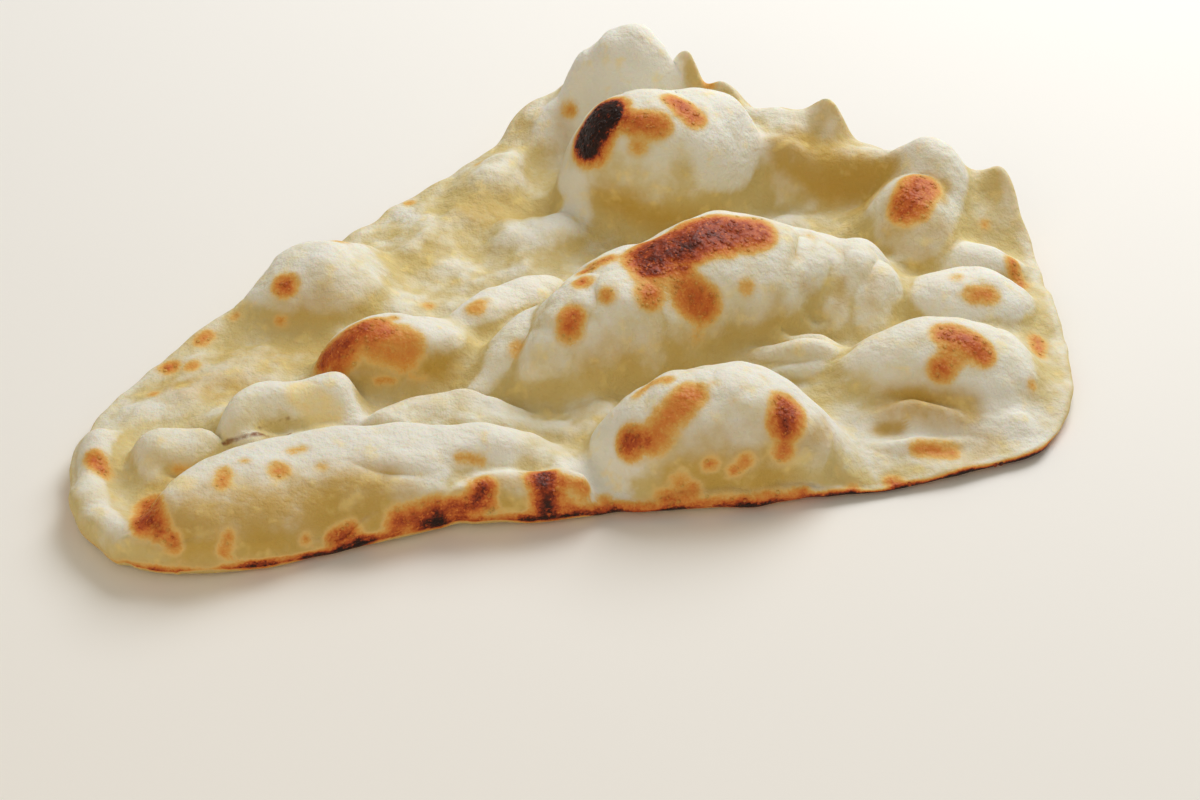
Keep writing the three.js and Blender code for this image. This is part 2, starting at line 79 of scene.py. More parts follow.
# %% [markdown]
# ## The outline
# The baker pulls the ball of dough into a tear shape, broad at one end. It could be drawn as a
# Blender curve. Here a few places on the edge are joined by a smooth curve, because the bubbles
# and folds also have to ask how far inside the edge they lie.

# %% Where the dough's edge runs
OUTLINE = [
    (129, -14), (127, 26), (119, 52), (104, 66), (78, 73), (52, 86), (28, 99), (6, 111),
    (-16, 101), (-34, 80), (-68, 45), (-92, 12), (-113, -16), (-126, -44), (-126, -72),
    (-113, -93), (-91, -97), (-62, -90), (-36, -81), (0, -76), (45, -71), (85, -62),
    (112, -52), (124, -37),
]


def smooth_curve(points, steps, closed):
    """A Catmull-Rom curve through the points: `steps` places on each stretch."""
    p = np.array(points, float)
    if not closed:
        p = np.vstack([2 * p[0] - p[1], p, 2 * p[-1] - p[-2]])
    count = len(p)
    first = range(count) if closed else range(1, count - 2)
    share = (np.arange(steps) / steps)[:, None]
    stretches = []
    for i in first:
        a, b, c, d = p[(i - 1) % count], p[i], p[(i + 1) % count], p[(i + 2) % count]
        stretches.append(0.5 * (2 * b + (c - a) * share + (2 * a - 5 * b + 4 * c - d) * share ** 2
                                + (3 * b - a - 3 * c + d) * share ** 3))
    if not closed:
        stretches.append(p[-2:-1])
    return np.vstack(stretches)


edge_line = smooth_curve(OUTLINE, 80, closed=True)
edge_angles = np.arctan2(edge_line[:, 1], edge_line[:, 0])
edge_radii = np.hypot(edge_line[:, 0], edge_line[:, 1])
in_turn = np.argsort(edge_angles)
edge_angles, edge_radii = edge_angles[in_turn], edge_radii[in_turn]
print("edge:", len(edge_line), "places,", round(float(edge_radii.max()), 1), "mm at the furthest")

# %% [markdown]
# ## Unevenness
# Dough is never even. Gradient noise gives lumps of a chosen size: a random slope at each
# corner of a square grid, blended smoothly in between. Blender's own noise would do for a
# finish, but the plain solid was made with this formula, and the fine skin has to lie on it.
# Several waves of different sizes together look like something made by hand.

# %% Noise
def smoothstep(start, end, value):
    """0 up to the start, 1 from the end on, and a soft step between them."""
    t = np.clip((value - start) / (end - start), 0, 1)
    return t * t * (3 - 2 * t)


def noise(x, y, size, seed):
    """Gradient noise from about -1 to 1, with lumps `size` across; odd numbers scatter its slopes."""
    u, v = x / size, y / size
    column, row = np.floor(u), np.floor(v)
    u, v = u - column, v - row

    def slope(step_x, step_y):
        wave = np.sin((column + step_x) * 127.1 + (row + step_y) * 311.7 + seed * 74.7) * 43758.5453
        angle = (wave - np.floor(wave)) * 2 * math.pi
        return np.cos(angle) * (u - step_x) + np.sin(angle) * (v - step_y)

    fade_u = u ** 3 * (u * (u * 6 - 15) + 10)
    fade_v = v ** 3 * (v * (v * 6 - 15) + 10)
    low = slope(0, 0) * (1 - fade_u) + slope(1, 0) * fade_u
    high = slope(0, 1) * (1 - fade_u) + slope(1, 1) * fade_u
    return (low * (1 - fade_v) + high * fade_v) * 1.5


def uneven(x, y, waves, start=0):
    """A value with waves of noise added to it, each with a size, a strength and a seed."""
    return sum((strength * noise(x, y, size, seed) for size, strength, seed in waves), start)


# %% The uneven edge
EDGE_WAVES = [(19, EDGE_WAVE, 11), (8, 0.5 * EDGE_WAVE, 12)]


def edge_radius(angle):
    """Distance from the middle of the plan to the dough's uneven edge, in a direction."""
    radius = np.interp(angle, edge_angles, edge_radii, period=2 * math.pi)
    x, y = radius * np.cos(angle), radius * np.sin(angle)
    return uneven(x, y, EDGE_WAVES, radius)


def inward(x, y):
    """How far a place is inside the edge."""
    return edge_radius(np.arctan2(y, x)) - np.hypot(x, y)


print("the edge is", round(float(inward(0, 0)), 1), "mm from the middle of the plan at the right")

# %% [markdown]
# ## Bubbles
# Steam blows the skin up where it comes off the crumb. A bubble could be a sphere that is
# joined to the sheet, but it would meet the sheet in a hard line. So each is a height over the
# plan: a dome over a turned ellipse. Its near and far shoulders can be square, like half an
# ellipsoid, or soft, like a mound, and its peak can lean to one side.

# %% The bubbles
# name: middle, half sizes, turn, height, near and far squareness, peak, lumps
BUBBLES = {
    "near": ((34.5, -53.5), (32, 20), 3, 24, 0.6, 0.7, (-0.05, -0.05), 0.8),
    "great": ((25, -2), (58, 22), 28, 30, 0.55, 0.75, (0.1, 0.05), 1.0),
    "great_end": ((73, 7), (19, 15), 60, 18, 0.7, 1, (0, 0), 3),
    "far": ((21.5, 65.5), (29.5, 20.5), 4, 33, 0.55, 0.9, (0, -0.1), 0.6),
    "far_right": ((92.5, 44), (23, 16), 80, 19, 0.6, 0.9, (0, 0), 0.5),
    "right": ((103, 7), (19, 12), -5, 12, 0.6, 0.9, (0, 0), 0.8),
    "right_small": ((107, 26), (14, 8), 5, 9, 0.8, 0.8, (0, 0), 0.6),
    "near_right": ((93, -22), (30, 18), 6, 17, 0.85, 0.9, (-0.15, -0.1), 0.6),
    "left": ((-47, -17), (24, 12), 16, 16.5, 0.5, 0.85, (-0.25, -0.3), 0.5),
    "middle_ridge": ((-22, 1), (22, 9), 35, 12, 0.7, 1, (0, -0.1), 0.8),
    "left_edge": ((-72, 17), (23, 19), 30, 14, 1.0, 1.1, (0, -0.1), 0.8),
    "collapsed": ((-64, -43), (11, 9), 10, 7, 0.6, 0.9, (0, -0.2), 0.3),
    "far_hump": ((14, 101), (21, 17), 20, 20, 0.9, 1, (0.1, 0), 2.4),
    "back_small": ((-13, 43), (16, 11), 10, 6, 1.0, 1.3, (0, 0), 0.6),
    "back_left": ((-42, 34), (16, 10), 25, 3.5, 1.3, 1.5, (0, 0), 0.4),
    "back_mid": ((-5, 66), (12, 8), 40, 4, 0.9, 1, (0, 0), 0.6),
    "back_low": ((66, 47), (18, 9), 10, 4, 1, 1, (0, 0), 1),
    "wrinkled": ((57, -19), (20, 8), 8, 9, 0.8, 1, (0, 0), 2.2),
    "left_low": ((-82, -18), (16, 10), 0, 2.5, 1.5, 1.5, (0, 0), 0.3),
    "lip_puff_left": ((56, 78), (13, 7), 150, 6, 0.8, 1, (0, 0), 0.8),
    "lip_puff_right": ((88, 62), (14, 7), 165, 3.5, 0.8, 1, (0, 0), 0.8),
    "mid_sheet": ((8, -42), (22, 9), 12, 4, 1, 1, (0, 0), 0.6),
    "below_great_end": ((76, -3), (9, 7), 0, 8, 0.9, 1, (0, 0), 1),
    "back_mound": ((-24, 62), (22, 14), 55, 3.5, 1, 1, (0, 0), 0.6),
    "right_low": ((82, 26), (13, 8), 60, 4, 1, 1, (0, 0), 1),
}
print(len(BUBBLES), "bubbles, the tallest", max(sizes[3] for sizes in BUBBLES.values()), "mm")

# %% How high a bubble stands at a place
FOOT_SOFTNESS = 0.03       # how gently a dome leaves the sheet
BUBBLE_WAVES = [(13, 1, 21), (6, 0.5, 22), (3.3, 0.2, 24)]
BROAD_WAVE = (21, 0.06, 23)     # its strength is a share of the bubble's height
SHOULDERS = (-0.5, 0.8)    # the near shoulder turns into the far one over this stretch
LUMPY_FROM = (0, 0.5)      # the lumps set in over this stretch of the dome
SKIRT = 0.16               # the sheet around a bubble is pulled up to this share of its height
SKIRT_REACH = 1.45         # and out to this many times its size
DRIFT_X = [(26, 2.2, 3), (9, 0.7, 5)]   # no bubble is a true ellipse: the plan drifts by this
DRIFT_Y = [(26, 2.2, 4), (9, 0.7, 6)]
BLEND = 4                  # how crisply one bubble meets the next


def bubble_height(x, y, middle, half, turn, height, near, far, peak, lumps):
    """How high one bubble lifts the skin at a place, with the skirt of sheet that it pulls up."""
    turn = math.radians(turn)
    dx, dy = x - middle[0], y - middle[1]
    along = (dx * math.cos(turn) + dy * math.sin(turn)) / half[0]
    across = (-dx * math.sin(turn) + dy * math.cos(turn)) / half[1]
    from_peak = (along - peak[0], across - peak[1])
    squared = np.maximum(from_peak[0] ** 2 + from_peak[1] ** 2, 1e-12)
    lead = from_peak[0] * peak[0] + from_peak[1] * peak[1]
    room = lead ** 2 + squared * (1 - peak[0] ** 2 - peak[1] ** 2)
    reach = squared / (np.sqrt(np.maximum(room, 0)) - lead)
    cover = np.maximum(1 - reach * reach, 0)
    power = near + (far - near) * smoothstep(*SHOULDERS, across)
    soft = FOOT_SOFTNESS
    rise = ((cover + soft) ** power - soft ** power) / ((1 + soft) ** power - soft ** power)
    size, share, seed = BROAD_WAVE
    lumpy = uneven(x, y, BUBBLE_WAVES) + share * height * noise(x, y, size, seed)
    dome = np.maximum(height * rise + lumps * lumpy * smoothstep(*LUMPY_FROM, cover), 0)
    skirt = SKIRT * height * np.maximum(1 - (reach / SKIRT_REACH) ** 2, 0) ** 2
    return np.maximum(np.where(cover > 0, dome, 0), skirt)


# %% [markdown]
# ## Folds, flaps, strands and creases
# Soft dough folds over where it is pulled off the wall: a long roll along the near edge, thin
# flaps of skin at the left, and strands where the skin is stretched. They could be separate
# strips laid on top, but the real ones grow out of the sheet. So each is a ridge along a
# smooth line on the plan, steep on its near side. A crease is a ridge with a height below zero.

# %% The folds
# name: crest from left to right, height, near reach, far reach, near squareness
FOLDS = {
    "near_roll": (
        [(-104, -99), (-98, -88), (-92, -78), (-84, -70), (-70, -64), (-46, -61), (-22, -60), (6, -56)],
        14, 34, 8, 0.62),
    "left_roll": (
        [(-118, -44), (-122, -56), (-121, -72), (-115, -86), (-107, -95), (-96, -100), (-82, -99)],
        7, 12, 7, 0.7),
    "curled_rim": ([(-46, -86), (-34, -81), (-22, -75), (-10, -71), (-2, -72), (6, -75)], 8, 12, 4, 0.55),
    "small_swell": ([(-112, -64), (-104, -59), (-96, -59), (-90, -63)], 5, 13, 8, 1.2),
    "collapsed_swell": ([(-92, -60), (-83, -48), (-74, -42), (-64, -39), (-55, -40)], 6, 16, 9, 1.2),
    "right_shelf": ([(68, -39), (86, -39), (104, -39), (118, -36)], 2.5, 8, 8, 1),
}
print(len(FOLDS), "folds")

# %% The thin flaps of skin that lie on the rest, with a crisp far edge
FLAPS = {
    "small_flap": ([(-113, -60), (-104, -54), (-96, -53), (-89, -59)], 5.5, 13, 1.8, 1),
    "collapsed_flap": ([(-93, -58), (-84, -44), (-75, -37), (-64, -34), (-54, -37)], 5, 12, 1.8, 1),
    "tongue_flap": ([(-54, -52), (-51, -44), (-44, -38), (-30, -37), (-8, -41)], 4.5, 20, 1.8, 1),
}
print(len(FLAPS), "flaps")

# %% The strands and creases
# name: crest, height (below 0 for a crease), half width
STRANDS = {
    "tail_outer": ([(-34, -41), (-26, -30), (-17, -13), (-8, 3)], 3.2, 6),
    "tail_inner": ([(-18, -41), (-5, -24), (4, -10)], 3, 6),
    "tail_crease": ([(-27, -41), (-15, -25), (-6, -8)], -1.8, 3.4),
    "foot_strand_high": ([(50, -7), (60, -6), (72, -9)], 2, 3),
    "foot_strand": ([(44, -11), (58, -13), (72, -17)], 2.8, 3.6),
    "foot_strand_low": ([(40, -16), (56, -20), (72, -22)], 2.4, 3.2),
    "end_crease": ([(56, 2), (64, -6), (72, -10)], -1.6, 4),
    "end_pleat": ([(57, 17), (55, 8), (53, -1)], -1.6, 3.2),
    "end_drip_left": ([(65, 14), (63, 7), (59, -1)], 1.4, 3.4),
    "end_drip_middle": ([(75, 15), (73, 8), (70, 1)], 1.4, 3.4),
    "end_drip_right": ([(82, 12), (80, 5), (77, -3)], 1.5, 3.2),
    "collapsed_dent": ([(-86, -55), (-76, -49), (-64, -46), (-54, -47)], -4, 6),
    "collapsed_seam": ([(-88, -57), (-80, -51), (-70, -48)], -1.6, 2.2),
    "small_flap_crease": ([(-106, -64), (-98, -66), (-90, -63)], -3, 3),
    "rim_valley": ([(-40, -76), (-26, -70), (-14, -67), (-3, -67)], -3.5, 6),
    "great_foot": ([(-8, -33), (10, -29), (28, -21), (46, -10), (60, -6)], -1.2, 2.6),
    "far_foot": ([(6, 49), (22, 45), (40, 49)], -1.2, 2.6),
    "left_foot": ([(-66, -26), (-52, -28), (-38, -25)], -1.8, 2.4),
    "near_right_foot": ([(75, -33), (87, -38), (100, -39)], -1.6, 3),
    "roll_fold": ([(-62, -72), (-46, -75), (-34, -74)], -1.2, 3),
    "right_ridge": ([(74, -41), (88, -42), (102, -44)], 1.8, 3),
    "right_ridge_low": ([(70, -51), (86, -51), (104, -46)], 1.5, 3),
    "dimple": ([(74, -45), (79, -45), (84, -45)], -1.6, 3.4),
    "far_foot_crease": ([(-2, 56), (8, 48), (20, 44)], -1, 2.5),
}
print(len(STRANDS), "strands and creases")

# %% Where the raised far edge stands up in a small flap
# name: middle, reach, height
LIP_EARS = {
    "on_hump": ((12, 109), 6, 5),
    "behind_hump": ((31, 98), 4, 18),
    "behind_far_bubble": ((41, 92), 8, 9),
    "far_middle": ((70, 77), 6, 11),
    "far_middle_low": ((60, 81), 7, 6),
    "far_corner": ((116, 54), 7, 7),
}
print(len(LIP_EARS), "upright flaps")

# %% How high a ridge stands at a place
UNDERCUT = 1.2             # depth of the shadow gap behind a flap's far edge, and its width
FOLD_FAR_SQUARE = 1.3
NARROWEST = 0.4            # a ridge is this share of its width at its very ends
FOLD_SINKING, FLAP_SINKING, STRAND_SINKING = 0.16, 0.2, 0.35   # share of the crest that sinks at an end


def beside_crest(x, y, crest):
    """Distance to a crest line, how far along it, and whether the place is on its near side."""
    line = smooth_curve(crest, 8, closed=False)
    distance = np.full(np.shape(x), np.inf)
    along, near_side = np.zeros(np.shape(x)), np.zeros(np.shape(x), bool)
    for step in range(len(line) - 1):
        start, way = line[step], line[step + 1] - line[step]
        t = np.clip(((x - start[0]) * way[0] + (y - start[1]) * way[1]) / (way @ way), 0, 1)
        gap = np.hypot(x - start[0] - t * way[0], y - start[1] - t * way[1])
        closer = gap < distance
        distance = np.where(closer, gap, distance)
        along = np.where(closer, (step + t) / (len(line) - 1), along)
        left_of = way[0] * (y - start[1]) - way[1] * (x - start[0])
        near_side = np.where(closer, left_of < 0, near_side)
    return distance, along, near_side


def narrowing(along):
    """A ridge is narrower towards both ends of its crest."""
    return NARROWEST + (1 - NARROWEST) * np.sqrt(np.maximum(1 - (2 * along - 1) ** 6, 0))


def sinking(along, share):
    """A ridge sinks into the sheet over this share of its crest at both ends."""
    return smoothstep(0, share, along) * smoothstep(1, 1 - share, along)


def fold_height(x, y, crest, height, near, far, square):
    """A fold that would reach past the dough's edge rolls down to it instead."""
    distance, along, near_side = beside_crest(x, y, crest)
    near_reach = np.minimum(near * narrowing(along), distance + np.maximum(inward(x, y), 0.1))
    reach = distance / np.where(near_side, near_reach, far * narrowing(along))
    power = np.where(near_side, square, FOLD_FAR_SQUARE)
    return height * sinking(along, FOLD_SINKING) * np.maximum(1 - reach * reach, 0) ** power


def strand_height(x, y, crest, height, half):
    """A thin ridge, or a crease where the height is below zero."""
    distance, along, _ = beside_crest(x, y, crest)
    reach = distance / (half * narrowing(along))
    return height * sinking(along, STRAND_SINKING) * np.maximum(1 - reach * reach, 0) ** 2


# %% [markdown]
# ## The skin
# Three things add up to the height of the top skin: how far the whole sheet is off the
# table, how far a bubble or fold puffs it, and the thickness of the dough itself. Bubbles that
# touch could simply be added up, but then they would pile up. A power mean keeps the higher
# one and rounds the valley between them.

# %% How far the sheet is off the table
LIP_WAVES = [(LIP_LUMP_SIZE, 1, 31), (0.4 * LIP_LUMP_SIZE, 0.4, 32)]
RIM_WAVES = [(30, 0.6, 13)]


def sheet_lift(x, y):
    """The raised lip with its upright flaps, and the curl all round."""
    inside = inward(x, y)
    wandering = inside + LIP_WANDER * noise(x, y, LIP_LUMP_SIZE, 33)
    far_side = smoothstep(LIP_FOOT, LIP_TOP, wandering) * smoothstep(*LIP_Y, y) * smoothstep(*LIP_X, x)
    lumps = LIP_LUMPS * uneven(x, y, LIP_WAVES)
    lip = (LIP_HEIGHT + lumps) * far_side * (1 - LIP_FALL * smoothstep(*LIP_FALL_X, x))
    for middle, reach, height in LIP_EARS.values():
        squared = (x - middle[0]) ** 2 + (y - middle[1]) ** 2
        lip = lip + height * np.exp(-squared / reach ** 2) * smoothstep(EAR_DEPTH, 1, inside)
    return lip + RIM_CURL * uneven(x, y, RIM_WAVES, 1) * smoothstep(RIM_REACH, 0, inside)


# %% How far bubbles and folds puff it
BUBBLE_RIM = (-1, 6)       # a bubble dies away over this stretch at the edge


def puff_height(x, y):
    """The power mean of all bubbles and folds."""
    drifted_x, drifted_y = uneven(x, y, DRIFT_X, x), uneven(x, y, DRIFT_Y, y)
    near_rim = smoothstep(*BUBBLE_RIM, inward(x, y))
    total = 0
    for sizes in BUBBLES.values():
        total = total + (bubble_height(drifted_x, drifted_y, *sizes) * near_rim) ** BLEND
    for sizes in FOLDS.values():
        total = total + fold_height(drifted_x, drifted_y, *sizes) ** BLEND
    return total ** (1 / BLEND)


# %% [markdown]
# ## Pleats and small relief
# Where a bubble has sunk, its skin is too large and hangs in fine pleats. Each could be one
# more crease in the table, but they are all alike, so noise that is stretched along the way
# they hang makes them in three places. Flaps, strands and pleats are added last and stay
# sharper than the bubbles.

# %% Pleats and small relief
# the middle, the half sizes, and how much slower the pleats change along x and along y
PLEATS = {
    "great_end": ((72, 5), (25, 20), (1, 0.3)),
    "slack_dough": ((60, -18), (26, 12), (0.3, 1)),
    "right_shelf": ((94, -42), (32, 10), (0.3, 1)),
}
PLEAT_SIZE, PLEAT_DEPTH, PLEAT_SEED = 5.0, 0.8, 43
PLEAT_EDGE, PLEAT_FADE = (0, 0.6), (1, 0.5)
RIPPLES = [(5.5, 0.35, 41), (2.8, 0.2, 42)]     # small ripples all over the skin
CRISP_RIM = (1, 5)         # the crisp relief sets in over this stretch inside the edge


def pleat_height(x, y):
    """Fine pleats, below zero, inside the ellipses of the table."""
    total = 0
    for (middle_x, middle_y), (half_x, half_y), (along_x, along_y) in PLEATS.values():
        reach = np.hypot((x - middle_x) / half_x, (y - middle_y) / half_y)
        wave = noise(x * along_x, y * along_y, PLEAT_SIZE, PLEAT_SEED)
        total = total - PLEAT_DEPTH * smoothstep(*PLEAT_EDGE, wave) * smoothstep(*PLEAT_FADE, reach)
    return total


def crisp_height(x, y):
    """Flaps, strands and creases, which stay sharper than the bubbles."""
    total = 0
    for crest, height, near, far, square in FLAPS.values():
        distance, along, near_side = beside_crest(x, y, crest)
        gap = np.exp(-((distance - far - 1) / UNDERCUT) ** 2) * sinking(along, FLAP_SINKING) * ~near_side
        total = total + fold_height(x, y, crest, height, near, far, square) - UNDERCUT * gap
    for sizes in STRANDS.values():
        total = total + strand_height(x, y, *sizes)
    total = uneven(x, y, RIPPLES, total + pleat_height(x, y))
    return total * smoothstep(*CRISP_RIM, inward(x, y))


# %% How thick the dough is
SLACK_LUMPS = 1.5          # slack dough between the bubbles is this much thicker
SLACK_WAVES = [(27, 2.8, 5), (13, 2.0, 6), (6, 0.5, 8)]
TAUT_SHARE, TAUT_FROM = 0.6, (3, 11)    # on bubbles this share of the slack is gone


def dough_thickness(x, y, puffed):
    """Slack dough is thick and lumpy, taut dough even, and the rim thin."""
    slack = 1 - TAUT_SHARE * smoothstep(*TAUT_FROM, puffed)
    inside = inward(x, y)
    near_right = smoothstep(*THIN_EDGE_X, x) * smoothstep(*THIN_EDGE_REACH, inside)
    near_right = near_right * smoothstep(*THIN_EDGE_Y, y)
    thinned = RIM_THINNING * smoothstep(RIM_REACH, 0, inside) + THIN_EDGE_SHARE * near_right
    return (SHEET_THICKNESS + slack * uneven(x, y, SLACK_WAVES, SLACK_LUMPS)) * (1 - thinned)


# %% [markdown]
# ## The mesh
# A square grid is bent into the round outline, so that its cells stay about the same size
# from the middle to the edge. One such grid is the top skin, a coarser one the underside,
# and a few rings of points between their borders make the rounded rim.

# %% The bent grid
TOP_CELLS = 270            # cells a little under 1 mm


def plan_grid(cells):
    """The x and y of each grid corner inside the dough's edge."""
    line = np.linspace(-1, 1, cells + 1)
    across, along = np.meshgrid(line, line, indexing="ij")
    wide = np.abs(across) > np.abs(along)
    radius = np.where(wide, across, along)
    safe = np.where(radius == 0, 1, radius)
    quarter = math.pi / 4
    angle = np.where(wide, quarter * along / safe, 2 * quarter - quarter * across / safe)
    x, y = radius * np.cos(angle), radius * np.sin(angle)
    reach = edge_radius(np.arctan2(y, x)) - RIM_ROUNDING
    return x * reach, y * reach


def grid_slopes(x, y, z):
    """How fast z rises along x and along y on a bent grid."""
    (x_u, x_v), (y_u, y_v), (z_u, z_v) = np.gradient(x), np.gradient(y), np.gradient(z)
    area = x_u * y_v - x_v * y_u
    area = np.where(np.abs(area) < 1e-9, 1e-9, area)
    return (z_u * y_v - z_v * y_u) / area, (x_u * z_v - x_v * z_u) / area


# %% Filling creases and evening out the cells
RELAX_ROUNDS = 3           # evens out the cells on the steep walls


def fill_creases(height):
    """Lifts what lies below the mean of its four neighbours, which rounds off the creases."""
    middle = (height[:-2, 1:-1] + height[2:, 1:-1] + height[1:-1, :-2] + height[1:-1, 2:]) / 4
    height[1:-1, 1:-1] += np.maximum(middle - height[1:-1, 1:-1], 0) / 2


def relax(points):
    """Moves each inner point half-way to the middle of its four neighbours."""
    middle = (points[:-2, 1:-1] + points[2:, 1:-1] + points[1:-1, :-2] + points[1:-1, 2:]) / 4
    points[1:-1, 1:-1] = (points[1:-1, 1:-1] + middle) / 2


# %% The border and the faces of a grid
def border(cells):
    """Grid corners round the border, counter-clockwise, as positions in the flat list."""
    line = np.arange(cells)
    column = np.concatenate([line, np.full(cells, cells), cells - line, np.zeros(cells, int)])
    row = np.concatenate([np.zeros(cells, int), line, np.full(cells, cells), cells - line])
    return column * (cells + 1) + row


def grid_quads(cells):
    """The four corners of each cell."""
    column, row = (part.ravel() for part in np.meshgrid(np.arange(cells), np.arange(cells), indexing="ij"))
    corner = column * (cells + 1) + row
    return np.stack([corner, corner + cells + 1, corner + cells + 2, corner + 1], 1)


# %% [markdown]
# ## The top skin and the underside
# The skin is raised in three goes. Bubbles and thickness come first. Then slack dough fills
# the narrow creases between them, as it does while it bakes: smoothing the whole mesh would
# also flatten the bubbles, so only what lies low is lifted. The crisp relief goes on last.
# Steep walls then swell outwards, as blown-up skin does, which a plain height map can't show.

# %% Raise the top skin
top_x, top_y = plan_grid(TOP_CELLS)
puffed = puff_height(top_x, top_y)
top_z = sheet_lift(top_x, top_y) + puffed + dough_thickness(top_x, top_y, puffed)
for _ in range(CREASE_FILLING):
    fill_creases(top_z)
top_z += crisp_height(top_x, top_y)
slope_x, slope_y = grid_slopes(top_x, top_y, top_z)
slope = np.maximum(np.hypot(slope_x, slope_y), 1e-9)
swell = np.minimum(SKIN_OVERHANG * np.maximum(puffed, 0) * slope / (1 + slope), SKIN_OVERHANG_LIMIT)
top = np.stack([top_x - swell * slope_x / slope, top_y - swell * slope_y / slope, top_z], -1)
for _ in range(RELAX_ROUNDS):
    relax(top)
print("bubbles and folds puff the sheet by up to", round(float(puffed.max()), 1), "mm")

# %% Lay the underside
UNDER_HOLLOW = 1.4         # where the underside did not touch the clay wall it has shallow hollows
HOLLOW_WAVES = [(24, 1, 71), (9, 0.5, 72)]
HOLLOW_REACH = (3, 12)     # they set in over this stretch inside the edge
under_cells = TOP_CELLS // 2
under_x, under_y = plan_grid(under_cells)
hollows = UNDER_HOLLOW * np.maximum(uneven(under_x, under_y, HOLLOW_WAVES), 0)
hollows = hollows * smoothstep(*HOLLOW_REACH, inward(under_x, under_y))
under = np.stack([under_x, under_y, sheet_lift(under_x, under_y) + hollows], -1)
print("tallest place", round(float(top[..., 2].max()), 1), "mm")

# %% [markdown]
# ## The rim
# The edge of the dough is rounded. A bevel would round it after the two skins are joined, but
# half circles of points from the one border to the other do it in one go. The last ring has
# twice the points of the underside's border, so three triangles fill each step.

# %% Join them with a rounded rim
RIM_RINGS = 6
RIM_LINE_LOW = 0.5         # the rim stands out furthest this share of its half height below the middle
top_count, under_count = (TOP_CELLS + 1) ** 2, (under_cells + 1) ** 2
top_border = border(TOP_CELLS)
under_border = border(under_cells) + top_count
upper = top.reshape(-1, 3)[top_border]
lower = np.stack([upper[:, 0], upper[:, 1], sheet_lift(upper[:, 0], upper[:, 1])], -1)
outward = upper[:, :2] / np.linalg.norm(upper[:, :2], axis=1)[:, None]
half_face = np.hypot((upper[:, 2] - lower[:, 2]) / 2, RIM_ROUNDING)
points = [top.reshape(-1, 3), under.reshape(-1, 3)]
from_rim = [inward(top_x, top_y).ravel() - RIM_ROUNDING + half_face.mean() * (1 + RIM_LINE_LOW),
            inward(under_x, under_y).ravel() - RIM_ROUNDING + half_face.mean() * (1 - RIM_LINE_LOW)]
faces = [grid_quads(TOP_CELLS), grid_quads(under_cells)[:, ::-1] + top_count]
ring_before, used = top_border, top_count + under_count
for ring in range(1, RIM_RINGS + 1):
    turn = math.pi * ring / (RIM_RINGS + 1)
    place = (upper + lower) / 2 + (upper - lower) / 2 * math.cos(turn)
    place[:, :2] += outward * RIM_ROUNDING * math.sin(turn)
    points.append(place)
    from_rim.append(half_face * abs(math.cos(turn) + RIM_LINE_LOW))
    ring_now = used + np.arange(len(top_border))
    used += len(top_border)
    faces.append(np.stack([ring_before, ring_now, np.roll(ring_now, -1), np.roll(ring_before, -1)], 1))
    ring_before = ring_now
left, middle, right = ring_before[0::2], ring_before[1::2], np.roll(ring_before, -2)[0::2]
under_next = np.roll(under_border, -1)
corners = [(left, under_border, middle), (middle, under_border, under_next), (middle, under_next, right)]
faces += [np.stack(three, 1) for three in corners]

# %% Make the mesh
skin_points, from_rim = np.concatenate(points), np.concatenate(from_rim)
bread_mesh = bpy.data.meshes.new("naan_bread")
in_frame = (skin_points + np.append(PLAN_SHIFT, 0)) * MM
bread_mesh.from_pydata(in_frame.tolist(), [], [face for part in faces for face in part.tolist()])
bread_mesh.shade_smooth()
bread = bpy.data.objects.new("naan_bread", bread_mesh)
bpy.context.scene.collection.objects.link(bread)
triangles = sum(len(part) * (part.shape[1] - 2) for part in faces)
print("bread:", len(skin_points), "points,", triangles, "triangles")

# %% [markdown]
# ## Where the oven scorched it
# A tandoor bakes in about a minute. Wherever the skin swells towards the fire it scorches:
# small spots turn gold, larger ones red-brown, and the worst place chars. Each scorch is a
# round or drawn-out patch on the skin. Its places are measured on the plan from the middle of
# its bubble, so that a scorch stays on its bubble. The distance to it is taken in space, as
# the heat went over the skin and not through the plan. The finish then makes the edge ragged.

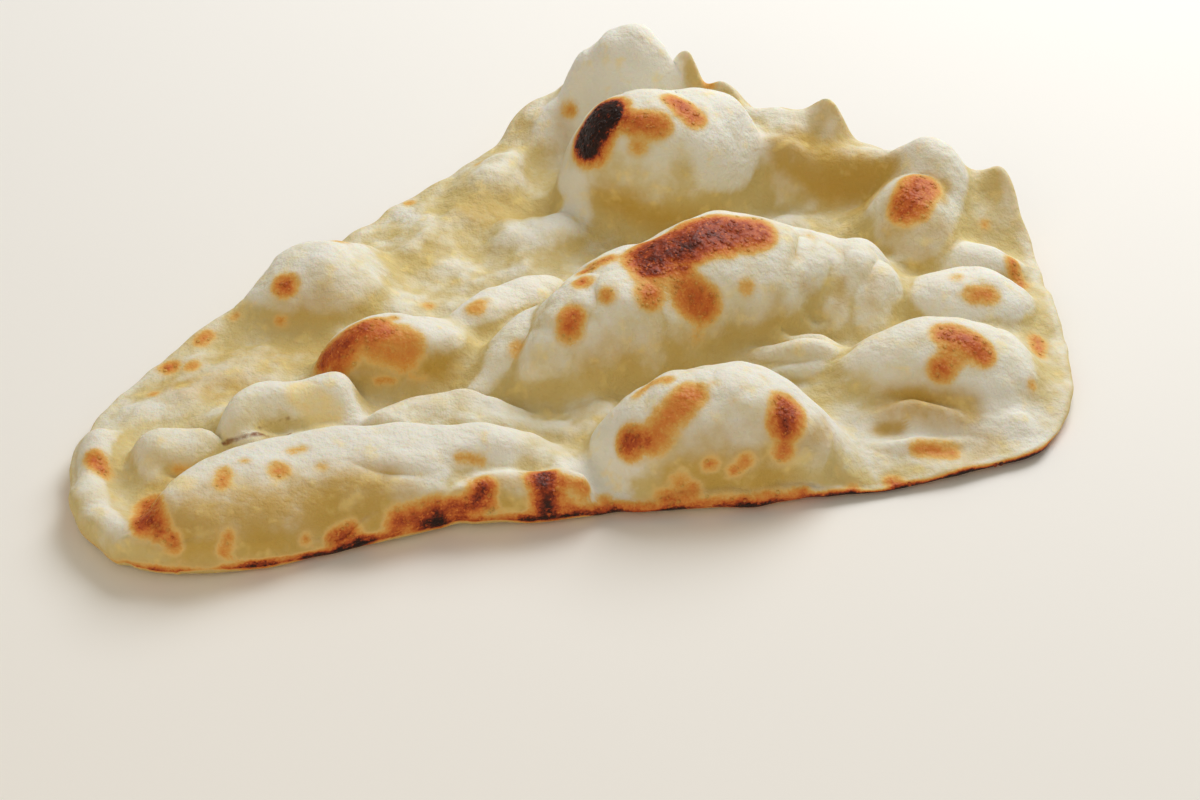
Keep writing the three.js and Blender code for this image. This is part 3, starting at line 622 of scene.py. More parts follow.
# %% The scorches
# radius in mm, heat (0.1 pale gold, 0.45 orange, 0.65 red-brown, 1 char), places on the plan
SCORCHES = {
    "near": [
        (4.8, 0.64, [(-21, -11)]), (4.4, 0.4, [(-7, -4), (-11.5, -8), (-15.5, -12)]),
        (1.4, 0.46, [(-18.5, -1), (-15.5, 1), (-12, 0)]), (1.8, 0.3, [(-26, 4)]),
        (5, 0.64, [(15, -5), (15.3, -8)]), (3, 0.55, [(15.4, -11.5)]), (2.1, 0.45, [(-2.7, -14.4)]),
        (1.9, 0.5, [(3.4, -15), (6.4, -14.3)]), (2.8, 0.26, [(-10, -16.4)]),
        (2.6, 0.42, [(-13.5, -18.7), (-6.5, -18.4)]), (2, 0.4, [(-28.5, -19.5)]),
        (1.4, 0.12, [(-0.7, -1.4)]), (1.2, 0.12, [(3.2, -5)]), (1.6, 0.1, [(9.4, 2)]),
        (2.2, 0.1, [(25, -2)]), (1.5, 0.12, [(20, 5)]),
    ],
    "great": [
        (8.2, 0.64, [(-5, -4), (2, 0), (9, 4)]), (6.6, 0.58, [(9, 4), (17, 7), (19, 8)]),
        (4.8, 0.7, [(-5.5, -5.5), (0, -2.8), (7, 0.5)]), (2.4, 0.73, [(-5, -5.5), (5, -0.5)]),
        (4.6, 0.46, [(-8.8, -15.5)]),
        (5.6, 0.48, [(1.5, -10.5), (6, -11.5)]), (4, 0.34, [(-9, -10), (0, -8)]),
        (2.2, 0.32, [(17, -5.4)]), (2.4, 0.5, [(-22, -6.5), (-17, -4.5)]), (2.6, 0.5, [(-23.3, -13)]),
        (2.3, 0.44, [(-17, -17)]), (3.4, 0.5, [(-27.8, -21.8), (-28.2, -24)]), (3, 0.2, [(-40, -22)]),
        (3, 0.14, [(4.3, -17.2)]), (1.8, 0.12, [(31, 6)]),
    ],
    "great_end": [(2.2, 0.14, [(-13, 7)]), (1.6, 0.1, [(-4, 3)])],
    "far": [
        (6.8, 0.95, [(-16.5, -6.8), (-13.5, -4.2)]), (8.2, 0.6, [(-16.5, -8), (-13, -5)]),
        (4.2, 0.46, [(-7.5, -8.6), (-1.5, -9)]), (4, 0.52, [(3, -2.6), (7.5, -5)]),
        (3, 0.26, [(-6, -12.4)]),
    ],
    "far_right": [(6.3, 0.52, [(-2.4, -8), (-0.4, -2)])],
    "right": [(3, 0.36, [(1.4, -5.5), (5.1, -4.8)]), (2.4, 0.15, [(-2.6, -0.4)])],
    "near_right": [
        (4.2, 0.54, [(0.9, -2.4), (5.4, -4), (9, -6.5)]), (3.8, 0.5, [(-1, -10.5)]),
        (2.4, 0.26, [(0.5, -6.5), (3.5, -8.5)]),
    ],
    "left": [
        (4.8, 0.46, [(-18.7, -7.4), (-11.7, -7.4), (-6, -4.4)]), (3.2, 0.6, [(-17.5, -8), (-9, -5)]),
        (5.4, 0.33, [(-6, -6.6), (0, -6.6), (2, -7)]), (4.4, 0.3, [(-6, -9), (1, -9.5)]),
        (3.4, 0.5, [(-16, -10.5), (-12, -9.5)]),
        (1.3, 0.42, [(-1.5, 0)]),
    ],
    "middle_ridge": [(2.8, 0.3, [(-6, -7)]), (2.2, 0.26, [(-4, -5.5)]), (1, 0.5, [(-19, 9)])],
    "left_edge": [
        (3.6, 0.57, [(-6.3, -11)]), (2.2, 0.44, [(-9, 9), (-7, 12)]), (2.2, 0.36, [(6, 8)]),
        (1.4, 0.34, [(-20.6, -14.2)]), (1.4, 0.5, [(-7.7, -18.2)]), (2, 0.5, [(-29, -23), (-27, -21)]),
        (2.8, 0.56, [(-36, -34)]), (2.2, 0.36, [(-30, -35)]),
    ],
    "far_hump": [(2.4, 0.36, [(-17.8, -8.9)])],
    # the rest is measured from the middle of the plan: first the near roll, from left to right
    "plan": [
        (4, 0.6, [(-105, -78), (-103.5, -92)]), (2.2, 0.52, [(-97, -95), (-97, -97)]),
        (1.8, 0.44, [(-84, -95), (-84.5, -97.5)]), (2.8, 0.62, [(-101, -88), (-100, -94)]),
        (3.3, 0.68, [(-58, -88.5), (-55, -87.5)]), (1.6, 0.42, [(-66, -90)]), (2.6, 0.42, [(-73, -76.5)]),
        (1.7, 0.44, [(-86, -78), (-86.3, -82.5)]), (1.8, 0.2, [(-63, -75)]), (1, 0.34, [(-81.5, -74.6)]),
        (1.2, 0.32, [(-70.6, -69.5), (-67.7, -68.8)]), (1.4, 0.3, [(-30, -68), (-25, -67.5)]),
        (1.5, 0.16, [(-27.4, -75)]),
        # the near edge where it curls up
        (4.6, 0.58, [(-42, -87), (-36.6, -85.5), (-34, -84)]),
        (3.3, 0.72, [(-31, -84), (-26, -83), (-23.5, -77)]),
        (1.1, 0.42, [(-99.8, -64.6), (-95, -64.3)]), (0.9, 0.5, [(-52.5, -30.4), (-48, -29.2)]),
        (0.7, 0.36, [(-44, -28.7), (-40, -28.5)]),
        (4.5, 0.8, [(-8.8, -74.5), (-7.4, -79)]), (2, 0.52, [(-12, -73.5), (1, -74)]),
        (1.4, 0.74, [(-6, -79), (4.7, -77.5), (14, -76.5), (24, -76)]),
        (1.4, 0.7, [(24, -76), (40, -74), (56, -71)]),
        (1.8, 0.45, [(4, -76), (9, -77)]), (1.2, 0.5, [(-44, -90), (-20, -86)]),
        # marks near the ends
        (2.6, 0.5, [(-119, -66), (-121, -62)]), (1.8, 0.42, [(-121, -50)]), (1.6, 0.4, [(-110, -30)]),
        (2.4, 0.46, [(120, -12), (121, -7)]), (1.6, 0.4, [(116, -30)]),
        (2.2, 0.44, [(119, 20), (117, 25)]),
        (1.4, 0.36, [(112, 40)]),
        # marks along the back edge and on the lip
        (1.6, 0.4, [(-49, 61)]), (1.6, 0.42, [(36, 96), (38, 93)]), (1.3, 0.3, [(-30, 74)]),
        # the thin near right edge
        (2.4, 0.4, [(85.6, -52.7), (94, -52.5)]), (2, 0.46, [(68, -66.5)]), (2.2, 0.5, [(78.5, -63)]),
    ],
}


# %% Places and distances on the skin
def skin_place(x, y):
    """The place on the top skin over a place on the plan, or on the rim if that is outside it."""
    if inward(x, y) > 0:
        nearest = np.argmin((top_x - x) ** 2 + (top_y - y) ** 2)
        return top.reshape(-1, 3)[nearest]
    rim_points = skin_points[top_count + under_count:]
    return rim_points[np.argmin((rim_points[:, 0] - x) ** 2 + (rim_points[:, 1] - y) ** 2)]


def distance_along(places):
    """Distance in space from each point of the skin to a line through some places."""
    nearest = np.full(len(skin_points), np.inf)
    for start, end in zip(places, places[1:] or places):
        way = end - start
        length = max(way @ way, 1e-9)
        share = np.clip((skin_points - start) @ way / length, 0, 1)
        gap = np.linalg.norm(skin_points - start - share[:, None] * way, axis=1)
        nearest = np.minimum(nearest, gap)
    return nearest


# %% Scorch the skin
SCORCH_FADE = (-2.5, 0.5)  # the heat of a scorch sets in over this stretch at its edge
FAR_OUTSIDE = -6.0         # the depth given to what is nowhere near a scorch
scorch_depth = np.full(len(skin_points), FAR_OUTSIDE)
scorch_heat = np.zeros(len(skin_points))


def add_scorch(depth, heat):
    """Takes the deepest scorch and the hottest one at each point of the skin."""
    global scorch_depth, scorch_heat
    scorch_depth = np.maximum(scorch_depth, depth)
    scorch_heat = np.maximum(scorch_heat, heat * smoothstep(*SCORCH_FADE, depth))


for bubble, scorches in SCORCHES.items():
    middle = BUBBLES[bubble][0] if bubble in BUBBLES else (0, 0)
    for radius, heat, places in scorches:
        on_skin = [skin_place(middle[0] + dx, middle[1] + dy) for dx, dy in places]
        add_scorch(radius - distance_along(on_skin), heat)
print("scorches:", sum(len(scorches) for scorches in SCORCHES.values()))

# %% [markdown]
# ## The browned edge and the underside
# The edge is thin, so the oven browns all of it where it hangs free. The underside lay on the
# clay wall: it is pale, with many small brown freckles where it touched.

# %% Brown the edge
RIM_BROWN_WIDTH = 1.6
RIM_DARKENING = 1.8        # how much faster than a spot the browned rim darkens towards its line
NEAR_SIDE_Y = (-30, -50)   # the browning sets in over these stretches of the plan
LEFT_PART_X, RIGHT_PART_X, RIGHT_SHARE = (-155, -40), (30, 80), 0.5
RIM_WIDTH_WAVES, RIM_HEAT, RIM_HEAT_WAVES = [(12, 0.6, 51)], 1.06, [(9, 0.3, 52)]
rim_x, rim_y = skin_points[:, 0], skin_points[:, 1]
near_edge = smoothstep(*LEFT_PART_X, rim_x) + RIGHT_SHARE * smoothstep(*RIGHT_PART_X, rim_x)
near_edge = smoothstep(*NEAR_SIDE_Y, rim_y) * near_edge
rim_width = RIM_BROWN_WIDTH * uneven(rim_x, rim_y, RIM_WIDTH_WAVES, near_edge)
add_scorch(RIM_DARKENING * (rim_width - from_rim), uneven(rim_x, rim_y, RIM_HEAT_WAVES, RIM_HEAT))

# %% Brown the underside
# size, strength, seed, and what has to be passed before it browns: broad blotches and freckles
UNDER_SPOTS = [(17, 7, 61, 0.3), (5, 3, 62, 0.42)]
UNDER_HEAT, UNDER_HEAT_WAVES = 0.42, [(30, 0.25, 63)]
is_under = np.zeros(len(skin_points), bool)
is_under[top_count:top_count + under_count] = True
under_depth = np.maximum(*(strength * (noise(rim_x, rim_y, size, seed) - passed)
                           for size, strength, seed, passed in UNDER_SPOTS))
add_scorch(np.where(is_under, under_depth, FAR_OUTSIDE), uneven(rim_x, rim_y, UNDER_HEAT_WAVES, UNDER_HEAT))
print("browned to some depth:", round(float((scorch_depth > 0).mean()) * 100), "% of the skin's points")

# %% [markdown]
# ## Raised and hollow places
# The skin is painted paler on what stands out and faces up, partly for bench flour and dry skin and partly as
# painted light. It is painted straw yellow and darker in the hollows and on the faces that turn down, partly
# for moist crumb and partly as painted shade. How far a point stands out is its distance to a smoothed copy
# of the skin, along the skin's normal.

# %% Measure the relief
FINE_ROUNDS, FINE_RELIEF = 20, 0.25     # rounds of smoothing, and the relief in mm that counts in full
BROAD_ROUNDS, BROAD_RELIEF = 200, 1.2
PUFFY_FROM = (2, 12)       # what is puffed by this much counts as bubble


def smoothed(points, rounds):
    """A copy of the skin, relaxed many times over."""
    soft = points.copy()
    for _ in range(rounds):
        relax(soft)
    return soft


along_u, along_v = np.gradient(top, axis=0), np.gradient(top, axis=1)
top_normal = np.cross(along_u, along_v)
top_normal /= np.linalg.norm(top_normal, axis=-1, keepdims=True)
fine_relief = ((top - smoothed(top, FINE_ROUNDS)) * top_normal).sum(-1)
broad_relief = ((top - smoothed(top, BROAD_ROUNDS)) * top_normal).sum(-1)
raised = np.clip(fine_relief / FINE_RELIEF + broad_relief / BROAD_RELIEF, -1, 1)
rest = len(skin_points) - top_count
raised = np.concatenate([raised.ravel(), np.zeros(rest)])
puffy = np.concatenate([smoothstep(*PUFFY_FROM, puffed).ravel(), np.zeros(rest)])
point_normals = np.empty(len(skin_points) * 3)
bread_mesh.vertices.foreach_get("normal", point_normals)
faces_up = point_normals.reshape(-1, 3)[:, 2]
print("relief: fine", round(float(np.ptp(fine_relief)), 2), "mm")
print("relief: broad", round(float(np.ptp(broad_relief)), 2), "mm")

# %% [markdown]
# ## Thin skin, tan, flour, painted shade and painted light
# The skin of the collapsed bubble is thin and dry, and turned clear yellow. Some faces tan without a scorch,
# bench flour lies thicker in some places, and in others it is rubbed off. The tan patches and the bare ones
# also paint shade at the feet of the bubbles, on the inner face of the raised lip and on the flat sheet at
# the left. The flour patches also paint light on faces that the lamp misses. These could be painted by hand
# as a vertex colour. Soft patches with a place, a radius and a strength do the same and can be changed one by
# one.

# %% The thin yellow skin of the collapsed bubble
THIN_SKIN = [(4.5, [(-70, -42), (-64, -45)]), (2.5, [(-98, -81), (-95, -83)])]
THIN_EDGE = (-1.5, 1.5)    # it sets in over this stretch at its edge
thin_skin = np.zeros(len(skin_points))
for radius, places in THIN_SKIN:
    thin = smoothstep(*THIN_EDGE, radius - distance_along([skin_place(x, y) for x, y in places]))
    thin_skin = np.maximum(thin_skin, thin)
print("thin skin on", int((thin_skin > 0.5).sum()), "points")

# %% Broad soft patches of colour
def strongest(patches):
    """The strongest patch at each point; a patch has a radius where it ends, a strength and places."""
    result = np.zeros(len(skin_points))
    for radius, strength, places in patches:
        away = distance_along([skin_place(x, y) for x, y in places])
        result = np.maximum(result, strength * smoothstep(radius, 0, away))
    return result


# %% Where it is tanned, floury or bare, and where shade and light are painted
# where the dough is tanned but not scorched, and painted shade: at the feet of the bubbles, in creases, on
# the inner face of the raised lip and on the flat sheet at the left
TANNED_AND_SHADED = [
    (20, 1.25, [(-92, -92), (-72, -88), (-52, -82)]), (9, 0.8, [(-34, -81), (-4, -78)]),
    (6, 0.9, [(-21, -75.5), (-14, -74.5)]), (4.4, 1.2, [(76, -45), (81, -45)]),
    (13, 0.5, [(4, -29), (14, -26), (34, -18), (50, -9)]), (11, 0.8, [(8, 49), (24, 45), (38, 46)]),
    (17, 1.4, [(61, 62), (72, 59), (84, 56)]), (6, 0.8, [(53, 67), (57, 66)]),
    (10, 1.0, [(-60, -27), (-36, -25)]),
    (12, 0.9, [(88, 33), (91, 42)]), (10, 1.15, [(80, -40), (98, -41)]), (6, 1.1, [(97, 39), (98, 44)]),
    (12, 0.6, [(-76, 2), (-62, 4)]), (13, 1.2, [(48, -70), (26, -70)]), (10, 0.8, [(28, -68), (48, -66)]),
    (8, 0.8, [(52, -64), (60, -58)]), (9, 0.7, [(84, 32), (98, 30)]), (8, 0.6, [(86, 25), (92, 25)]),
    (10, 0.25, [(-30, -7), (-20, -4)]),
    (12, 0.75, [(-31, 51), (-24, 50), (-14, 52)]), (16, 0.6, [(-92, -14), (-70, -12)]),
    (14, 0.3, [(-60, 38), (-40, 32), (-36, 56)]), (15, 0.9, [(-104, -28), (-84, -30)]),
    (7, 0.7, [(88, -52), (104, -47)]),
    (8, 0.8, [(-104, -72), (-98, -70)]), (8, 0.5, [(44, 6), (46, 14)]), (4, 0.5, [(77.7, 5), (76.3, -3)]),
    (4, 0.6, [(69.4, 3), (67.5, -3)]),
    (4, 0.5, [(56, -1), (60, 0)]), (5, 0.6, [(88, 23), (91, 22)]),
    (9, 0.5, [(24, -66), (44, -64)]), (5, 0.7, [(98, -56), (104, -50)]), (6, 0.4, [(-7, 91), (-3, 86)]),
    (8, 0.9, [(-50, -83), (-42, -79)]),
]
# where it kept more of the bench flour, and painted light on faces the lamp misses: the right side of the far
# bubble, the front of the hump, the bubble at the right and the valley left of the near bubble
FLOURED_AND_LIT = [
    (15, 1.3, [(38, 57), (44, 66)]), (20, 1.4, [(2, 90), (16, 92)]), (14, 1.0, [(99, 0), (108, 4)]),
    (16, 0.6, [(64, -52), (90, -46), (112, -40)]),
    (10, 0.5, [(100, 22), (112, 26)]), (12, 0.5, [(50, -50), (60, -56)]), (8, 0.5, [(-30, -2), (-16, 4)]),
    (14, 0.5, [(-76, -68), (-46, -66), (-24, -64)]), (10, 0.6, [(-66, -40), (-60, -42)]),
    (13, 1.2, [(6, -68), (8, -60)]),
    (10, 0.8, [(-68, -42), (-60, -44)]), (10, 1.1, [(-4, 48), (-2, 54)]),
]
# where the flour is rubbed off, and painted shade on the flat sheet at the back and left
BARE_AND_SHADED = [
    (15, 1.0, [(-34, 56), (-28, 51), (-14, 54)]), (14, 0.5, [(-90, -12), (-70, -12)]),
    (10, 0.6, [(-46, 30), (-40, 36)]),
]
UNDER_FLOUR = 0.8          # the underside keeps its flour
tan_and_shade_patches, flour_light_and_shade = strongest(TANNED_AND_SHADED), strongest(FLOURED_AND_LIT) - strongest(BARE_AND_SHADED)
flour_light_and_shade = np.where(is_under, UNDER_FLOUR, flour_light_and_shade)
print(len(TANNED_AND_SHADED), "tanned,", len(FLOURED_AND_LIT), "floury and", len(BARE_AND_SHADED), "bare patches")

# %% [markdown]
# ## Painted shadow seams
# Where one layer of dough lies on another, a thin dark line of shadow shows between them. A gap could be cut
# into the mesh, but it would be hardly wider than a cell. So the shadow is painted instead, as a seam: a line
# of its own on the skin, which the finish makes uneven and brown.

# %% Painted shadow seams where one layer of dough lies on another
# half width, darkness, places on the plan
SHADOW_SEAMS = [
    (0.7, 0.85, [(-89.5, -56.8), (-82, -55.2), (-73, -51.6)]), (0.5, 0.5, [(-81, -51.5), (-74, -47)]),
]
shadow_seam_depth = np.full(len(skin_points), FAR_OUTSIDE / 2)
shadow_seam_darkness = np.zeros(len(skin_points))
for half_width, darkness, places in SHADOW_SEAMS:
    depth = half_width - distance_along([skin_place(x, y) for x, y in places])
    shadow_seam_darkness = np.where(depth > shadow_seam_depth, darkness, shadow_seam_darkness)
    shadow_seam_depth = np.maximum(shadow_seam_depth, depth)
print(len(SHADOW_SEAMS), "seams")

# %% [markdown]
# ## What each point of the skin knows
# Nodes could work all this out again from the places and sizes, but it would take hundreds of
# them. So it is kept on the mesh as attributes, one number for each point.

# %% Write it all on the mesh
# the tan and flour values also carry painted shade and painted light, and the seam values a painted shadow
SKIN_VALUES = {
    "scorch_depth": scorch_depth, "scorch_heat": scorch_heat, "raised": raised, "puffy": puffy,
    "faces_up": faces_up, "thin_skin": thin_skin, "tan_and_shade_patches": tan_and_shade_patches, "flour_light_and_shade": flour_light_and_shade,
    "shadow_seam_depth": shadow_seam_depth, "shadow_seam_darkness": shadow_seam_darkness,
}
for name, values in SKIN_VALUES.items():
    layer = bread_mesh.attributes.new(name, "FLOAT", "POINT")
    layer.data.foreach_set("value", values.astype(np.float32))
    print(name, "from", round(float(values.min()), 2), "to", round(float(values.max()), 2))

# %% [markdown]
# ## The finish
# Baked wheat dough is a pale, dry foam under a skin a few tenths of a millimetre thick. Light
# goes in and comes out again some millimetres away, which takes the edge off every shadow, so
# the shader has some subsurface. The skin is matt where it is floury and has a slight gloss
# where the sugars browned.

# %% Helpers for materials
def srgb(hex_colour):
    """A colour written as #rrggbb, as the linear numbers that Blender works in."""
    parts = [int(hex_colour[i:i + 2], 16) / 255 for i in (1, 3, 5)]
    linear = [part / 12.92 if part <= 0.04045 else ((part + 0.055) / 1.055) ** 2.4 for part in parts]
    return (*linear, 1)


def add(tree, kind, inputs=None, **settings):
    """Adds a node, sets its settings, and fills or links its inputs."""
    node = tree.nodes.new(kind)
    for name, value in settings.items():
        setattr(node, name, value)
    for socket, value in (inputs or {}).items():
        if isinstance(value, bpy.types.NodeSocket):
            tree.links.new(value, node.inputs[socket])
        else:
            node.inputs[socket].default_value = value
    return node


def per_metre(size_mm):
    """The scale of a pattern whose lumps are this many millimetres apart."""
    return 1000 / size_mm


# %% Baked wheat dough, floury and scorched
dough = bpy.data.materials.new("baked_wheat_dough_floury_scorched")
dough.use_nodes = True
tree = dough.node_tree
tree.nodes.clear()
place = add(tree, "ShaderNodeTexCoord").outputs["Object"]
parts = {"always": 1.0}    # everything that varies over the skin, by name
for name in SKIN_VALUES:
    parts[name] = add(tree, "ShaderNodeAttribute", attribute_name=name).outputs["Fac"]
# lumps of the crumb and flour: how many millimetres they are apart, and how much detail they have
LUMPS = {
    "broad": (30, 3), "patch": (8, 4), "mid": (2.2, 3), "grain": (0.7, 2), "dots": (1.1, 1), "dry": (5.5, 2),
}
for name, (size, detail) in LUMPS.items():
    parts[name] = add(tree, "ShaderNodeTexNoise", {
        "Vector": place, "Scale": per_metre(size), "Detail": detail,
    }).outputs["Fac"]
print("the finish knows", ", ".join(parts))

# %% [markdown]
# ## Recipes for the finish
# Most of this finish is plain arithmetic on those numbers. It could be wired node by node, but
# then the weights are lost among the links. Here each result is a line in a table: a sum with
# a weight for each part, a soft step between two values, a product, or the largest of some.

# %% How far each point is toasted
TOASTING = {
    # the edge of a scorch is ragged: lumps of three sizes push it in and out, in millimetres
    "ragged": ("sum", {"scorch_depth": 1, "patch": 2.6, "mid": 1.8, "grain": 1.3}),
    "edge": ("soft step", "ragged", 0.4, 6.0, 0, 1),
    "core": ("soft step", "ragged", 3.0, 8.5, 0.85, 1.1),
    # inside it is mottled, and small dots are spared
    "mottle": ("sum", {"grain": 0.3, "mid": 0.5, "patch": 0.3, "always": 0.45}),
    "spared": ("soft step", "dots", 0.6, 0.7, 1, 0.72),
    "toast": ("product", "scorch_heat", "edge", "core", "mottle", "spared"),
    "toasted": ("soft step", "toast", 0, 0.16, 0, 1),
}
print(len(TOASTING), "recipes for toasting")

# %% Where the dough is straw yellow, floury, tanned, thin or beside a scorch
TONES = {
    # straw yellow in patches, partly moist crumb, and painted shade: the hollows, the faces that turn down
    # and the sheet between the bubbles are painted straw and darker
    "straw_and_shade_sum": ("sum", {
        "flour_light_and_shade": -0.5, "faces_up": -0.6, "puffy": -0.15, "raised": -0.25,
        "patch": 1.1, "mid": 0.5, "broad": 0.5, "always": -0.02,
    }),
    "straw_and_shade": ("soft step", "straw_and_shade_sum", 0, 1, 0, 1),
    # flour in patches, and painted light: what faces up, what stands out and what is puffed are painted paler
    "flour_and_light_sum": ("sum", {
        "flour_light_and_shade": 0.9, "faces_up": 0.35, "raised": 0.15, "puffy": 0.1, "patch": -0.9, "mid": 0.65,
        "always": -0.02,
    }),
    "flour_and_light": ("soft step", "flour_and_light_sum", 0, 0.6, 0, 0.75),
    # tan in clouds, stronger on the faces that turn down, which paints shade on them
    "tan_and_shade_cloud": ("sum", {"patch": 0.9, "mid": 0.5, "faces_up": -0.3, "always": 0.3}),
    "tan_and_shade_strength": ("product", "tan_and_shade_patches", "tan_and_shade_cloud"),
    "tan_and_shade": ("soft step", "tan_and_shade_strength", 0, 1, 0, 0.9),
    # the skin turns clear yellow where it is thin, and in small dried places all over
    "dry_cloud": ("sum", {"dry": 1, "mid": 0.3}),
    "dried": ("soft step", "dry_cloud", 0.68, 0.95, 0, 0.5),
    "thin_cloud": ("sum", {"patch": 0.7, "mid": 0.5, "always": 0.05}),
    "thinned": ("product", "thin_skin", "thin_cloud"),
    "thin": ("largest", "thinned", "dried"),
    # a gold halo lies round each scorch, and the painted shadow seam is uneven and brown
    "near_scorch": ("soft step", "ragged", -2.0, 3.0, 0, 0.4),
    "hot_scorch": ("soft step", "scorch_heat", 0, 0.4, 0, 1),
    "halo": ("product", "near_scorch", "hot_scorch"),
    "ragged_shadow_seam": ("sum", {"shadow_seam_depth": 1, "mid": 1.4, "patch": 1.2}),
    "shadow_seam_line": ("soft step", "ragged_shadow_seam", 1.0, 1.9, 0, 1),
    "shadow_seam": ("product", "shadow_seam_darkness", "shadow_seam_line"),
}
print(len(TONES), "recipes for the tones of the dough")

# %% The fine relief and the gloss
BLISTER_SPACING = 1.3      # mm between the fine blisters of a scorch
parts["cells"] = add(tree, "ShaderNodeTexVoronoi", {
    "Vector": place, "Scale": per_metre(BLISTER_SPACING), "Smoothness": 0.6,
}, feature="SMOOTH_F1").outputs["Distance"]
RELIEF = {
    "blistered": ("product", "cells", "edge"),
    "relief": ("sum", {"grain": 0.18, "mid": 0.55, "patch": 0.7, "blistered": -0.25}),
    # browned skin is a little glossier
    "roughness": ("soft step", "toast", 0, 0.5, 0.7, 0.52),
}
print(len(RELIEF), "recipes for the relief and the gloss")

# %% Turn the recipes into nodes, in their order
CHAINS = {"product": "MULTIPLY", "largest": "MAXIMUM"}
for name, (way, *what) in {**TOASTING, **TONES, **RELIEF}.items():
    if way == "sum":
        result = 0.0
        for part, weight in what[0].items():
            result = add(tree, "ShaderNodeMath", {0: parts[part], 1: weight, 2: result},
                         operation="MULTIPLY_ADD").outputs["Value"]
    elif way == "soft step":
        part, start, end, low, high = what
        result = add(tree, "ShaderNodeMapRange", {
            "Value": parts[part], "From Min": start, "From Max": end, "To Min": low, "To Max": high,
        }, interpolation_type="SMOOTHSTEP").outputs["Result"]
    else:
        result = parts[what[0]]
        for part in what[1:]:
            result = add(tree, "ShaderNodeMath", {0: result, 1: parts[part]},
                         operation=CHAINS[way]).outputs["Value"]
    parts[name] = result
print("the recipes took", len(tree.nodes), "nodes")

# %% [markdown]
# ## The colours
# Dough goes from pale straw over orange and red-brown to char, and each step has its colour on a ramp. One
# ramp for the whole bread would do for toast, but straw, flour, tan, thin skin and the seams are other
# colours. Straw, tan and the seams also carry painted shade, and flour carries painted light. So they are
# laid over the pale crumb one after the other, each by its share.

# %% The colours of toasting, from pale straw to char
TOAST_COLOURS = {
    0.0: "#e6d39c", 0.12: "#e5bf74", 0.24: "#dfa551", 0.4: "#d98639", 0.54: "#c86527",
    0.67: "#a8451c", 0.79: "#702811", 0.9: "#3e1a0c", 1.0: "#240e06",
}
ramp = add(tree, "ShaderNodeValToRGB", {"Fac": parts["toast"]})
stops = ramp.color_ramp.elements
stops[0].color, stops[1].color = srgb(TOAST_COLOURS[0.0]), srgb(TOAST_COLOURS[1.0])
for position, colour in TOAST_COLOURS.items():
    if 0 < position < 1:
        stops.new(position).color = srgb(colour)
print(len(stops), "colours of toasting")

# %% Lay the colours over each other
PALE_CRUMB = srgb("#e6dfc4")
# straw and tan also carry painted shade, flour painted light, and the seam a painted shadow
COLOUR_LAYERS = {
    "straw_and_shade": srgb("#d3be80"), "flour_and_light": srgb("#edece4"), "tan_and_shade": srgb("#c7a24a"), "thin": srgb("#f6df94"),
    "halo": srgb("#deb468"), "toasted": ramp.outputs["Color"], "shadow_seam": srgb("#83481f"),
}
FIRST, SECOND, MIXED = 6, 7, 2     # the colour sockets of a Mix node
colour = PALE_CRUMB
for share, layer in COLOUR_LAYERS.items():
    colour = add(tree, "ShaderNodeMix", {"Factor": parts[share], FIRST: colour, SECOND: layer},
                 data_type="RGBA").outputs[MIXED]
print(len(COLOUR_LAYERS), "layers over the pale crumb")

# %% [markdown]
# ## The shader
# Lumps and ripples as fine as a grain of semolina are too small for the mesh. Displacing it
# would take millions of faces, so a bump makes them. The rest are values of the real crust.

# %% The shader
SKIN_GLOSS = 0.25          # dry starch reflects less than its IOR would give
SOAKING_IN, SOAKING_COLOURS = 4 * MM, (1.0, 0.55, 0.25)    # how far light goes in, red furthest
bump = add(tree, "ShaderNodeBump", {"Strength": 1.0, "Distance": MM, "Height": parts["relief"]})
shader = add(tree, "ShaderNodeBsdfPrincipled", {
    "Base Color": colour,
    "Roughness": parts["roughness"],
    "Specular IOR Level": SKIN_GLOSS,
    "Normal": bump.outputs["Normal"],
    "Subsurface Weight": 0.3,
    "Subsurface Radius": SOAKING_COLOURS,
    "Subsurface Scale": SOAKING_IN,
})
add(tree, "ShaderNodeOutputMaterial", {"Surface": shader.outputs["BSDF"]})
bread_mesh.materials.append(dough)
print(dough.name, "has", len(tree.nodes), "nodes")

# %% [markdown]
# ## Blisters on the scorched spots
# Where the outermost skin scorches, steam lifts it in pinhead blisters. They could be painted
# relief, but they are over half a millimetre wide and catch the light, so they are real domes.
# There are hundreds, so a surface scatter makes them: points spread over the scorched skin, a
# flat dome on each, and all the domes joined. Each one carries the scorching under it along.

# %% The tree and its inputs
BLISTER_SIZES = {
    "Width": 1.3 * MM, "Smallest": 0.45, "Flatness": 0.4, "Per Square Metre": 180000.0,
    "From Depth": 1.0, "From Heat": 0.4,
}
BLISTER_SEED = 7
scatter = bpy.data.node_groups.new("blisters_on_scorched_skin", "GeometryNodeTree")
scatter.interface.new_socket("Skin", in_out="INPUT", socket_type="NodeSocketGeometry")
blister_inputs = {
    name: scatter.interface.new_socket(name, in_out="INPUT", socket_type="NodeSocketFloat")
    for name in BLISTER_SIZES
}
seed_input = scatter.interface.new_socket("Seed", in_out="INPUT", socket_type="NodeSocketInt")
scatter.interface.new_socket("Blisters", in_out="OUTPUT", socket_type="NodeSocketGeometry")
given = add(scatter, "NodeGroupInput").outputs

